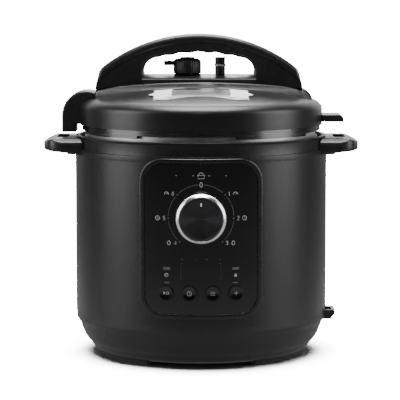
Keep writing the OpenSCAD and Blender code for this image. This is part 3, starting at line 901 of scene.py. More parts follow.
@dataclass
class Artwork:
    """Flat strokes that are printed on a surface, gathered into one piece."""

    place: Place
    width: float = 0.45
    film: float = 0.05
    shape: Shape = field(default_factory=Shape)

    def stroke(self, points: Sequence[Point], width: Optional[float] = None, closed: bool = False) -> None:
        """Draws a line of even width.

        Args:
            points: the line's points.
            width: its width, or the artwork's own.
            closed: whether it joins its start.
        """
        half = (width or self.width) / 2
        rings = []
        count = len(points)
        for i, (x, y) in enumerate(points):
            if closed:
                (ax, ay), (bx, by) = points[i - 1], points[(i + 1) % count]
            else:
                (ax, ay), (bx, by) = points[max(i - 1, 0)], points[min(i + 1, count - 1)]
            far = max(math.hypot(bx - ax, by - ay), 1e-9)
            nx, ny = -(by - ay) / far * half, (bx - ax) / far * half
            rings.append([self.place(x + nx, y + ny, 0), self.place(x + nx, y + ny, self.film),
                          self.place(x - nx, y - ny, self.film), self.place(x - nx, y - ny, 0)])
        self.shape.skin(rings, loop=closed)

    def arc(self, x: float, y: float, radius: float, start: float = 0.0, end: float = 360.0,
            width: Optional[float] = None) -> None:
        """Draws an arc, its angles in degrees from +X towards +Y.

        Args:
            x: its centre's place across.
            y: its centre's place upwards.
            radius: its radius.
            start: angle at its start.
            end: angle at its end; a whole turn is closed.
            width: the line's width, or the artwork's own.
        """
        whole = abs(end - start) >= 360
        steps = max(6, int(abs(end - start) / 6 * min(1.0, 0.3 + radius / 8)))
        last = steps if whole else steps + 1
        turns = [math.radians(start + (end - start) * k / steps) for k in range(last)]
        self.stroke([(x + radius * math.cos(t), y + radius * math.sin(t)) for t in turns], width, whole)

    def fill(self, outline: Sequence[Point]) -> None:
        """Fills an outline."""
        self.shape.skin([[self.place(x, y, h) for x, y in outline] for h in (0.0, self.film)])

    def dot(self, x: float, y: float, radius: float) -> None:
        """Fills a dot.

        Args:
            x: its centre's place across.
            y: its centre's place upwards.
            radius: its radius.
        """
        turns = [2 * math.pi * k / 20 for k in range(20)]
        self.fill([(x + radius * math.cos(t), y + radius * math.sin(t)) for t in turns])

    def digit(self, number: int, x: float, y: float, height: float = 4.2) -> None:
        """Draws a plain digit from 0 to 6, centred.

        Args:
            number: the digit.
            x: its middle's place across.
            y: its middle's place upwards.
            height: its height.
        """
        u, v = height * 0.29, height / 2
        upper, lower = v - u, u - v
        if number == 0:
            bow = []
            for step in range(24):
                turn = math.radians(15 * step)
                centre = upper if step <= 12 else lower
                bow.append((x + u * math.cos(turn), y + (centre + u * math.sin(turn))))
            self.stroke(bow, closed=True)
            return

        def bend(cx: float, cy: float, r: float, start: float, end: float) -> list[Point]:
            """Points of an arc of the digit."""
            return [(cx + r * math.cos(math.radians(start + (end - start) * k / 10)),
                     cy + r * math.sin(math.radians(start + (end - start) * k / 10))) for k in range(11)]

        lines = {
            1: [[(-u * 0.7, v - u * 0.8), (0.1, v), (0.1, -v)]],
            2: [[*bend(0, upper, u, 160, -20), (-u, -v), (u, -v)]],
            3: [bend(0, v - u * 0.92, u * 0.92, 150, -90), bend(0, u * 0.95 - v, u, 90, -150)],
            4: [[(u * 0.5, -v), (u * 0.5, v), (-u, -v * 0.4), (u * 1.15, -v * 0.4)]],
            5: [[(u * 0.9, v), (-u * 0.75, v), (-u * 0.85, 0.12 * v), *bend(0, u - v, u, 110, -150)]],
            6: [[(u * 0.5, v), *bend(0, u - v + 0.1, u, 165, 180)], bend(0, u - v, u, 0, 350)],
        }
        for line in lines[number]:
            self.stroke([(x + px, y + py) for px, py in line])

    def lay(self, name: str, finish: Finish, body: str, slot: str) -> bpy.types.Object:
        """Makes the artwork a piece.

        Args:
            name: the piece's name.
            finish: its finish.
            body: the CAD body that it moves with.
            slot: the record's material slot; not used.
        Returns:
            The new object.
        """
        return self.shape.piece(name, finish, body, slot)


class Sign(Enum):
    """Pictograms on the panel and the lid."""

    POT = "pot"
    GAUGE = "gauge"
    CLOCK = "clock"
    FLAME = "flame"
    LOCK = "lock"
    POWER = "power"
    START = "start and stop"
    GRID = "grid"
    PLUS = "plus"
    ARROW = "arrow"


def draw(art: Artwork, sign: Sign, x: float, y: float, size: float) -> None:
    """Draws a pictogram.

    Args:
        art: the artwork that it joins.
        sign: which one.
        x: its middle across.
        y: its middle upwards.
        size: its width.
    """
    h = size / 2
    if sign is Sign.POT:
        art.stroke([(x - h, y + 0.1 * h), (x - h, y - h), (x + h, y - h), (x + h, y + 0.1 * h)])
        art.stroke([(x - 1.25 * h, y + 0.1 * h), (x + 1.25 * h, y + 0.1 * h)])
        art.arc(x, y + 0.1 * h, 0.8 * h, 20, 160)
    elif sign is Sign.GAUGE:
        art.arc(x, y - 0.3 * h, h, -10, 190)
        art.stroke([(x, y - 0.3 * h), (x + 0.55 * h, y + 0.35 * h)])
    elif sign is Sign.CLOCK:
        art.arc(x, y, h)
        art.stroke([(x, y + 0.62 * h), (x, y), (x + 0.5 * h, y - 0.25 * h)])
    elif sign is Sign.FLAME:
        art.stroke([(x + h * 0.75 * math.sin(t) * (1 - 0.55 * max(0.0, -math.cos(t))), y - h * math.cos(t))
                    for t in (2 * math.pi * k / 16 for k in range(16))], closed=True)
    elif sign is Sign.LOCK:
        left, right, low, high = x - 0.8 * h, x + 0.8 * h, y - h, y + 0.1 * h
        art.fill([(left, low), (right, low), (right, high), (left, high)])
        art.arc(x, y + 0.1 * h, 0.5 * h, 0, 180)
    elif sign is Sign.POWER:
        art.arc(x, y, h, 120, 420)
        art.stroke([(x, y + 1.2 * h), (x, y + 0.1 * h)])
    elif sign is Sign.START:
        art.fill([(x - 1.1 * h, y - 0.7 * h), (x - 1.1 * h, y + 0.7 * h), (x - 0.1 * h, y)])
        art.stroke([(x + 0.25 * h, y - 0.55 * h), (x + 1.2 * h, y - 0.55 * h), (x + 1.2 * h, y + 0.55 * h),
                    (x + 0.25 * h, y + 0.55 * h)], closed=True)
    elif sign is Sign.GRID:
        for dy in (-0.7, 0.0, 0.7):
            art.stroke([(x - 0.35 * h, y + dy * h), (x + h, y + dy * h)])
            art.dot(x - 0.8 * h, y + dy * h, 0.16 * h)
    elif sign is Sign.PLUS:
        art.stroke([(x - h, y), (x + h, y)])
        art.stroke([(x, y - h), (x, y + h)])
    elif sign is Sign.ARROW:
        art.stroke([(x - h, y + 0.6 * h), (x + h, y + 0.6 * h), (x, y - 0.8 * h)], closed=True)


@dataclass
class Panel:
    """The curved control panel: frame, overlay, window, lamps and printing."""

    dial_radius: float = 33.5
    dial_gap: float = 4.5
    settings: Sequence[float] = (46.5, 92.0, 139.0)
    window_gap: float = 20.5
    frame_corner: float = 24.0
    frame_edge: float = 1.5
    pocket_corner: float = 19.3
    pocket_edge: float = 0.8
    pocket_floor: float = 1.3
    hidden: tuple[float, float, float] = (90.0, 128.0, 8.0)  # the frame's hole behind the overlay

    def on_face(self, x: float, z: float, lift: float) -> Point3:
        """Puts a point of the artwork on the overlay.

        Args:
            x: how far across.
            z: height above the floor.
            lift: height above the overlay.
        Returns:
            The point.
        """
        radius = self.face + 0.02 + lift
        return (x, -math.sqrt(radius * radius - x * x), z)

    def build_bezel(self) -> None:
        """Lofts the frame from the sleeve, over its rounded edge and down to the overlay."""
        low, high = box_mm("panel_bezel")
        width, tall = high[0] - low[0], high[2] - low[2]
        mid = (high[2] + low[2]) / 2
        face = -low[1]
        back = box_mm("housing_sleeve")[1][0] + 0.06
        pocket = box_mm("panel_overlay")
        inner_w, inner_h = pocket[1][0] - pocket[0][0] + 0.4, pocket[1][2] - pocket[0][2] + 0.4
        inner_mid = (pocket[1][2] + pocket[0][2]) / 2
        corner, edge = self.frame_corner, self.frame_edge
        rows = [(width, tall, corner, back, mid), (width, tall, corner, face - edge, mid)]
        for k in range(1, 7):
            turn = math.pi / 2 * k / 6
            inset = edge * (1 - math.cos(turn))
            rows.append((width - 2 * inset, tall - 2 * inset, corner - inset,
                         face - edge * (1 - math.sin(turn)), mid))
        for k in range(0, 5):
            turn = math.pi / 2 * k / 4
            inset = self.pocket_edge * (1 - math.sin(turn))
            rows.append((inner_w + 2 * inset, inner_h + 2 * inset, self.pocket_corner + inset,
                         face - self.pocket_edge * (1 - math.cos(turn)), inner_mid))
        floor = face - self.pocket_floor
        rows += [(inner_w, inner_h, self.pocket_corner, floor, inner_mid),
                 (*self.hidden, floor, inner_mid), (*self.hidden, back, inner_mid)]
        rings = [[(x, -math.sqrt(r * r - x * x), z + zc) for x, z in rounded_box(w, h, c, 12)]
                 for w, h, c, r, zc in rows]
        Shape().skin([self.fine(ring) for ring in rings], loop=True).piece(
            "panel_frame", Kit.BEZEL, "housing", "bezel_black", ["panel_bezel"])

    def fine(self, ring: list[Point3]) -> list[Point3]:
        """Adds points along a ring's long level stretches, so that they follow the wall's curve.

        Args:
            ring: the ring's points.
        Returns:
            The ring with 16 more points on each level stretch.
        """
        finer = []
        for i, (x, y, z) in enumerate(ring):
            nx, _, nz = ring[(i + 1) % len(ring)]
            finer.append((x, y, z))
            if abs(nx - x) > 20:
                radius = math.hypot(x, y)
                for k in range(1, 17):
                    px = x + (nx - x) * k / 17
                    finer.append((px, -math.sqrt(radius * radius - px * px), z + (nz - z) * k / 17))
        return finer

    def print_dial(self, dial: Artwork, marks: Artwork) -> None:
        """Prints the dial's arcs and dots, its digits and their pictograms.

        Args:
            dial: the faint artwork.
            marks: the clear artwork.
        """
        cx, _, cz = middle("knob_ring")
        spots = [0.0, *self.settings, *(-a for a in self.settings)]
        stops = sorted(spots)
        for a, b in zip(stops, stops[1:]):
            dial.arc(cx, cz, self.dial_radius, 90 - a - self.dial_gap, 90 - b + self.dial_gap)
        for turn in spots[1:]:
            away = math.radians(turn)
            dial.dot(cx + self.dial_radius * math.sin(away), cz + self.dial_radius * math.cos(away), 0.85)
        marks.digit(0, cx, cz + 33.4, 4.4)
        signs = (Sign.GAUGE, Sign.CLOCK, Sign.FLAME)
        for side in (-1, 1):
            for number, (turn, sign) in enumerate(zip(self.settings, signs), 1):
                away = math.radians(turn)
                x = cx + side * (self.dial_radius * math.sin(away) + 4.4)
                z = cz + self.dial_radius * math.cos(away) + 1.6 * math.cos(away)
                marks.digit(number if side > 0 else 7 - number, x, z, 3.9)
                draw(marks, sign, x + side * 6.6, z, 4.4)
        draw(marks, Sign.POT, cx, cz + 42.8, 6.4)
        for side in (-1, 1):
            marks.stroke([(cx + side * 7.5, cz + 42.6), (cx + side * 26, cz + 42.6)], 0.5)

    def print_window(self, dial: Artwork, marks: Artwork) -> None:
        """Prints the lamps' pictograms and the lines round the window.

        Args:
            dial: the faint artwork.
            marks: the clear artwork.
        """
        lamps = box_mm("indicator_lamps")
        for x, sign in ((lamps[0][0] + 3.4, Sign.POWER), (lamps[1][0] - 3.4, Sign.LOCK)):
            draw(marks, sign, x, 102.0, 3.4)
        window = box_mm("display_window")
        wz = (window[0][2] + window[1][2]) / 2
        tall = window[1][2] - window[0][2] + 1.6
        rim = [(x, z + wz) for x, z in rounded_box(2 * self.window_gap, tall, 1.2, 4)]
        dial.stroke(rim, 0.22, closed=True)
        for side in (-1, 1):
            dial.stroke([(side * 5.0, wz + 12.6), (side * 20.0, wz + 12.6)], 0.3)

    def build_printing(self) -> None:
        """Lays the panel's two artworks, one faint and one clear."""
        dial = Artwork(self.on_face, width=0.42)
        marks = Artwork(self.on_face, width=0.5)
        self.print_dial(dial, marks)
        self.print_window(dial, marks)
        dial.lay("dial_print", Kit.FAINT_INK, "housing", "overlay_black")
        marks.lay("panel_marks", Kit.INK, "housing", "overlay_black")

    def build(self) -> None:
        """Builds the frame and printing and dresses the nodes that stay."""
        self.face = -box_mm("panel_overlay")[0][1]
        self.build_bezel()
        self.build_printing()
        dress("panel_overlay", Kit.OVERLAY)
        dress("display_window", Kit.WINDOW)
        dress("indicator_lamps", Kit.LAMP)


@dataclass
class Selector:
    """The rotary knob: knurled ring, spun face and pointer."""

    teeth: int = 84
    depth: float = 0.55
    pointer: tuple[float, float, float, int] = (1.5, 6.2, 0.7, 4)  # width, length, corner, steps
    pointer_at: float = 16.0

    def about(self, r: float, angle: float, out: float) -> Point3:
        """Puts a turned point about the knob's axis.

        Args:
            r: distance from the knob's axis.
            angle: angle about it, in radians.
            out: distance from the body's axis.
        Returns:
            The point.
        """
        return (r * math.cos(angle), -out, self.height + r * math.sin(angle))

    def knurl(self, r: float, out: float, angle: float) -> float:
        """Depth of the knurl at a point of the ring.

        Args:
            r: distance from the knob's axis.
            out: distance from the body's axis.
            angle: angle about the knob's axis, in radians.
        Returns:
            What to add to the radius.
        """
        if r < self.radius - 0.75 or out < self.back + 1.2:
            return 0.0
        phase = (angle * self.teeth / (2 * math.pi)) % 1.0
        return -self.depth * (1.0 - abs(2 * phase - 1.0)) ** 1.4

    def build(self) -> None:
        """Builds the three pieces."""
        low, high = box_mm("knob_ring")
        self.height = (low[2] + high[2]) / 2
        self.radius = (high[0] - low[0]) / 2
        front, self.back = -low[1], -high[1]
        top = self.radius
        ring = [(22.4, self.back), (top - 0.9, self.back), (top, self.back + 1.0), (top, self.back + 3),
                (top, front - 5.2), (top, front - 3.2), (top - 0.4, front - 2.5), (top - 1.6, front - 1.5),
                (top - 2.7, front - 0.6), (22.9, front - 0.05), (22.5, front - 0.2), (22.3, front - 0.7)]
        Shape().turn(ring, self.teeth * 6, self.about, self.knurl).piece(
            "selector_ring", Kit.KNURL, "selector", "knob_chrome", ["knob_ring"], sharp=50)
        face = -box_mm("knob_cap")[0][1]
        cap = [(AXIS_HOLE, face - 0.55), (12, face - 0.45), (18.5, face - 0.15), (20.8, face),
               (21.9, face - 0.15), (22.6, face - 0.7), (22.9, face - 1.5), (22.9, self.back + 0.6),
               (20.9, self.back + 0.6), (20.9, face - 3.2), (AXIS_HOLE, face - 3.3)]
        Shape().turn(cap, 160, self.about).piece(
            "selector_face", Kit.SPUN, "selector", "knob_metal", ["knob_cap"])
        above = self.height + self.pointer_at

        def on_cap(u: float, v: float, h: float) -> Point3:
            """Puts a point of the pointer on the dished face."""
            return (u, -(face - 0.36 + h), above + v)

        Shape().pillow(rounded_box(*self.pointer), 0.12, 0.06, on_cap, 2).piece(
            "selector_pointer", Kit.WHITE_INK, "selector", "knob_metal")
        dress("knob_shaft", Kit.SCREW)


@dataclass
class Keys:
    """The four dished push buttons and their signs."""

    bearings: Sequence[float] = (-14.8, -4.9, 4.9, 14.8)
    dish: float = 23.2
    dish_depth: float = 1.1
    back: float = 134.2  # where the hidden end is, from the body's axis
    nodes: Sequence[str] = ("button_start_stop", "button_temp_time", "button_program", "button_plus")
    bodies: Sequence[str] = ("key_start_stop", "key_temp_time", "key_program", "key_plus")
    signs: Sequence[Sign] = (Sign.START, Sign.CLOCK, Sign.GRID, Sign.PLUS)

    def build(self) -> None:
        """Builds each button as a turned, dished cap with its sign."""
        low, high = box_mm(self.nodes[1])
        radius = (high[2] - low[2]) / 2
        height = (high[2] + low[2]) / 2
        face = -box_mm("panel_overlay")[0][1] + 1.0
        centre = face - self.dish_depth + self.dish
        for bearing, node, body, sign in zip(self.bearings, self.nodes, self.bodies, self.signs):
            away = math.radians(bearing)
            sine, cosine = math.sin(away), math.cos(away)

            def put(u: float, v: float, out: float, s: float = sine, c: float = cosine) -> Point3:
                """Puts a point of the button in space."""
                return (out * s + u * c, -out * c + u * s, height + v)

            def turned(r: float, angle: float, out: float, at: Place = put) -> Point3:
                """Puts a turned point of the button in space."""
                return at(r * math.cos(angle), r * math.sin(angle), out)

            def dished(u: float, v: float, lift: float, at: Place = put) -> Point3:
                """Puts a point of the sign in the dish."""
                return at(u, v, centre - math.sqrt(self.dish ** 2 - u * u - v * v) + 0.02 + lift)

            bowl = [(r, centre - math.sqrt(self.dish ** 2 - r * r))
                    for r in (AXIS_HOLE, 1.5, 3, 4.5, 5.8, 6.7)]
            rim = [(radius - 0.85, face - 0.12), (radius - 0.45, face), (radius - 0.12, face - 0.14),
                   (radius, face - 0.5)]
            profile = [*bowl, *rim, (radius, self.back), (AXIS_HOLE, self.back)]
            Shape().turn(profile, 72, turned).piece(
                f"{body}_cap", Kit.KEY, body, "button_black", [node], sharp=48)
            art = Artwork(dished, width=0.42)
            draw(art, sign, 0, 0, 4.6)
            art.lay(f"{body}_sign", Kit.INK, body, "button_black")


# --------------------------------------------------------------------- pot


@dataclass
class Pot:
    """The loose cooking pot and its seal."""

    wall: float = 1.0
    rim_out: float = 10.8

    def build(self) -> None:
        """Turns the pot with its rolled rim and dresses the seal."""
        low, high = box_mm("inner_pot")
        outer = high[0] - self.rim_out
        floor, rim = low[2] + 2.5, high[2]
        under = [(AXIS_HOLE, low[2]), (outer - 7, low[2]), (outer - 2.6, low[2] + 2.1),
                 (outer + 0.2, floor + 3.5), (outer + self.wall, floor + 9)]
        lip = [(outer + self.wall, rim - 4.5), (outer + 2.6, rim - 1.4), (outer + 9, rim - 1.2),
               (outer + 10.4, rim - 2.4), (high[0], rim - 1.2), (outer + 9.6, rim), (outer + 2.4, rim - 0.2),
               (outer, rim - 4)]
        inside = [(outer, floor + 9.4), (outer - 0.9, floor + 4.5), (outer - 3.6, floor + 1),
                  (outer - 7.6, floor), (60, floor + 0.3), (AXIS_HOLE, floor + 0.4)]
        Shape().turn(soften([*under, *lip, *inside], 2.4), 192).piece(
            "cooking_pot_shell", Kit.POT_STEEL, "cooking_pot", "pot_steel", ["inner_pot"], sharp=50)
        dress("sealing_ring", Kit.SILICONE)


# --------------------------------------------------------------------- lid


@dataclass
class Lid:
    """The lid: cover, steel pan, the strip and deck under the handle, and the label plate."""

    crease: float = 18.3
    dome_radius: float = 455.0
    shoulder: Sequence[Point] = ((0, 0), (0.9, 2.3), (2.8, 4.6), (6, 6.9), (10.6, 8.7), (16, 10))
    opening: float = 33.0
    wall: float = 2.4
    crest: float = 294.0
    strip_radius: float = 833.0
    strip_end: float = 21.0
    strip_taper: float = 0.72  # degrees of a cosine for each millimetre from the middle
    curl_radius: float = 13.6
    curl_height: float = 272.8
    deck_length: float = 61.0
    deck_half: float = 25.0
    deck_top: float = 301.7
    deck_crown: float = 4.3
    vent_hole: float = 8.0
    float_hole: float = 5.6
    hole_span: Point = (250.0, 320.0)
    mark_radius: float = 108.0

    def measure(self) -> None:
        """Reads the lid's main sizes from the frame."""
        low, high = box_mm("lid_cover")
        self.radius, self.skirt, self.top = high[0], low[2], high[2]
        strip = box_mm("handle_base")
        self.strip_half = strip[1][1]
        self.left, self.right = strip[0][0], strip[1][0]
        self.outer = [(self.radius - dx, self.skirt + self.crease + dz) for dx, dz in self.shoulder]

    def cover_z(self, r: float) -> float:
        """Height of the cover's outside at a radius."""
        edge = self.outer[-1][0]
        if r <= edge:
            return self.top - self.dome_radius + math.sqrt(self.dome_radius ** 2 - r * r)
        for (ra, za), (rb, zb) in zip(self.outer[::-1], self.outer[-2::-1]):
            if r <= rb:
                return za + (zb - za) * (r - ra) / (rb - ra)
        return self.outer[0][1]

    def build_cover(self) -> None:
        """Turns the cover; its middle is open under the deck, where the valves pass."""
        rough = [(self.radius, self.skirt), *self.outer, (104, self.cover_z(104))]
        corner = soften(rough, 2.2, closed=False)
        dome = [(r, self.cover_z(r)) for r in range(100, int(self.opening), -6)]
        outside = [*corner[:-1], *dome, (self.opening, self.cover_z(self.opening))]
        inside = [(self.opening, self.cover_z(self.opening) - self.wall)]
        inside += [(r, z - self.wall) for r, z in reversed(dome)]
        inside += [(115, 274.0), (121.6, 271.5), (126.4, 269.1), (self.radius - 2.1, 265.0),
                   (self.radius - 2.1, self.skirt + 0.4), (self.radius - 1.6, self.skirt)]
        Shape().turn([*outside, *inside], 256).piece(
            "lid_cover_shell", Kit.LID, "lid", "lid_gloss", ["lid_cover"], sharp=30)

    def strip_top(self, x: float) -> float:
        """Height of the strip's crest along X, with the curl at its right end."""
        level = self.crest - self.strip_radius + math.sqrt(self.strip_radius ** 2 - x * x)
        past = x - (self.right - self.curl_radius)
        if past > 0:
            curl = math.sqrt(max(self.curl_radius ** 2 - past ** 2, 0.0))
            level = min(level, self.curl_height + curl)
        return level

    def strip_bulge(self, x: float) -> float:
        """How much of its middle width the strip has along X, from 0 to 1."""
        return math.cos(math.radians(x * self.strip_taper)) ** 2

    def strip_depth(self, x: float) -> float:
        """Half depth of the strip along X."""
        return self.strip_end + (self.strip_half - self.strip_end) * self.strip_bulge(x)

    def build_strip(self) -> None:
        """Lofts the long strip, with its ledge and the flanks that run down to the dome."""
        stations = [self.left + 2.0 * k for k in range(int((self.right - 8 - self.left) / 2))]
        stations += [self.right - 8 + 8 * math.sin(math.pi / 2 * k / 8) for k in range(9)]
        rings = []
        for x in stations:
            top, depth = self.strip_top(x), self.strip_depth(x)
            ledge = depth - 4.0
            foot = depth + 3.0 + 6.0 * self.strip_bulge(x)
            base = self.cover_z(math.hypot(x, foot))
            half = [(0.0, top + 0.1), (ledge * 0.5, top + 0.05), (ledge - 0.9, top),
                    (ledge - 0.4, top - 0.08), (ledge, top - 0.3), (ledge + 0.35, top - 0.75)]
            start, crown = half[-1]
            for k in range(1, 7):
                t = k / 6
                half.append((start + (foot - start) * t,
                             crown - (crown - base) * (0.72 * t + 0.28 * t * t)))
            half.append((foot + 0.3, base - 0.6))
            under = [(y, self.cover_z(math.hypot(x, y)) - 1.3)
                     for y in (foot, foot * 0.66, foot * 0.33, 0.0)]
            right = [(y, min(z, max(top, base)) if y < foot else z) for y, z in half] + under
            rings.append([(x, y, z) for y, z in right] + [(x, -y, z) for y, z in reversed(right[1:-1])])
        Shape().skin(rings).piece("handle_strip", Kit.CAP, "lid", "handle_black", ["handle_base"],
                                  sharp=38, cutters=self.valve_holes())

    def valve_holes(self) -> list[Shape]:
        """Pegs that open the way of the vent and the float."""
        holes = (("vent_pipe", self.vent_hole), ("float_valve", self.float_hole))
        return [peg(*middle(node)[:2], radius, *self.hole_span) for node, radius in holes]

    def build_deck(self) -> None:
        """Lofts the crowned deck between the feet of the handle."""
        grip = box_mm("handle_grip")
        mid = (grip[0][0] + grip[1][0]) / 2
        half = self.deck_length
        top = []
        for k in range(17):
            y = self.deck_half * (1 - 2 * k / 16)
            top.append((y, self.deck_top - self.deck_crown * (y / self.deck_half) ** 2))
        edge = top[0][1]
        rings = []
        for x in [mid - half + 2 * half * k / 24 for k in range(25)]:
            wall = [(self.deck_half + 0.55, edge - 0.45), (self.deck_half + 0.7, edge - 1.2),
                    (self.deck_half + 0.7, self.strip_top(x) - 1.5)]
            ring = [*reversed(wall), *top, *((-y, z) for y, z in wall)]
            rings.append([(x, y, z) for y, z in ring])
        Shape().skin(rings).piece("handle_deck", Kit.CAP, "lid", "handle_black", sharp=50,
                                  cutters=self.valve_holes())

    def on_dome(self, x: float, y: float, lift: float) -> Point3:
        """Puts a point on the dome.

        Args:
            x: how far across.
            y: how far back.
            lift: height above the dome.
        Returns:
            The point.
        """
        return (x, y, self.cover_z(math.hypot(x, y)) + 0.04 + lift)

    def build_label(self) -> None:
        """Lays the foil plate on the dome, with pale end blocks and a dark line at its back."""
        low, high = box_mm("label_plate")
        cy, width, depth = (low[1] + high[1]) / 2, high[0] - low[0], high[1] - low[1]
        thick = 1.1
        plate = rounded_box(width, depth, 3, 8)
        Shape().pillow(plate, thick, 0.25, lambda u, v, h: self.on_dome(u, cy + v, h), 14).piece(
            "foil_plate", Kit.LABEL, "lid", "label_silver", ["label_plate"])
        nub = [(-10, -19), (9, -19), (9, -7), (15, 0), (9, 7), (9, 19), (-10, 19)]
        for side, name in ((-1, "plate_block_left"), (1, "plate_block_right")):

            def on_plate(u: float, v: float, h: float, s: int = side) -> Point3:
                """Puts a point of an end block on the plate."""
                return self.on_dome(s * (40 + u), cy + v, thick + h)

            Shape().pillow(soften(nub, 1.2), 0.12, 0.05, on_plate, 12).piece(
                name, Kit.WHITE_INK, "lid", "label_silver")
        bars = Artwork(lambda u, v, h: self.on_dome(u, cy + v, thick + h), film=0.1)
        for v in (14.5, 9.0, 3.0, -3.0, -9.0):
            bars.stroke([(-21 + 2 * k, v) for k in range(22)], 0.55)
        bars.lay("plate_lines", Kit.FAINT_INK, "lid", "label_silver")

    def build_marks(self) -> None:
        """Prints the position marks on the shoulder."""
        def on_shoulder(u: float, v: float, h: float) -> Point3:
            """Puts a point on the shoulder; u runs along it and v up the dome."""
            reach, turn = v + self.mark_radius, u / self.mark_radius
            return self.on_dome(reach * math.sin(turn), -reach * math.cos(turn), h)

        art = Artwork(on_shoulder, width=0.42)
        art.stroke([(-35 + 2.5 * k, -4.2) for k in range(29)], 0.35)
        draw(art, Sign.ARROW, 0, 0.4, 6.4)
        for side in (-1, 1):
            art.stroke([(side * 28.0, 1.0), (side * 33.0, 1.0)])
            draw(art, Sign.LOCK if side < 0 else Sign.ARROW, side * 39.0, 1.2, 4.2)
        art.lay("lid_marks", Kit.FAINT_INK, "lid", "lid_gloss")

    def build(self) -> None:
        """Builds the lid and dresses the nodes that stay."""
        self.measure()
        self.build_cover()
        self.build_strip()
        self.build_deck()
        self.build_label()
        self.build_marks()
        for node in ("lid_pan", "vent_pipe", "vent_shield"):
            dress(node, Kit.SHADED_LID_STEEL)
        for node in ("ring_rack", "lid_screws"):
            dress(node, Kit.SCREW)


def across(u: float, v: float, depth: float) -> Point3:
    """Places an outline of X and Z, carried along Y.

    Args:
        u: the outline's first coordinate.
        v: the outline's second coordinate.
        depth: how far back.
    Returns:
        The point.
    """
    return (u, depth, v)


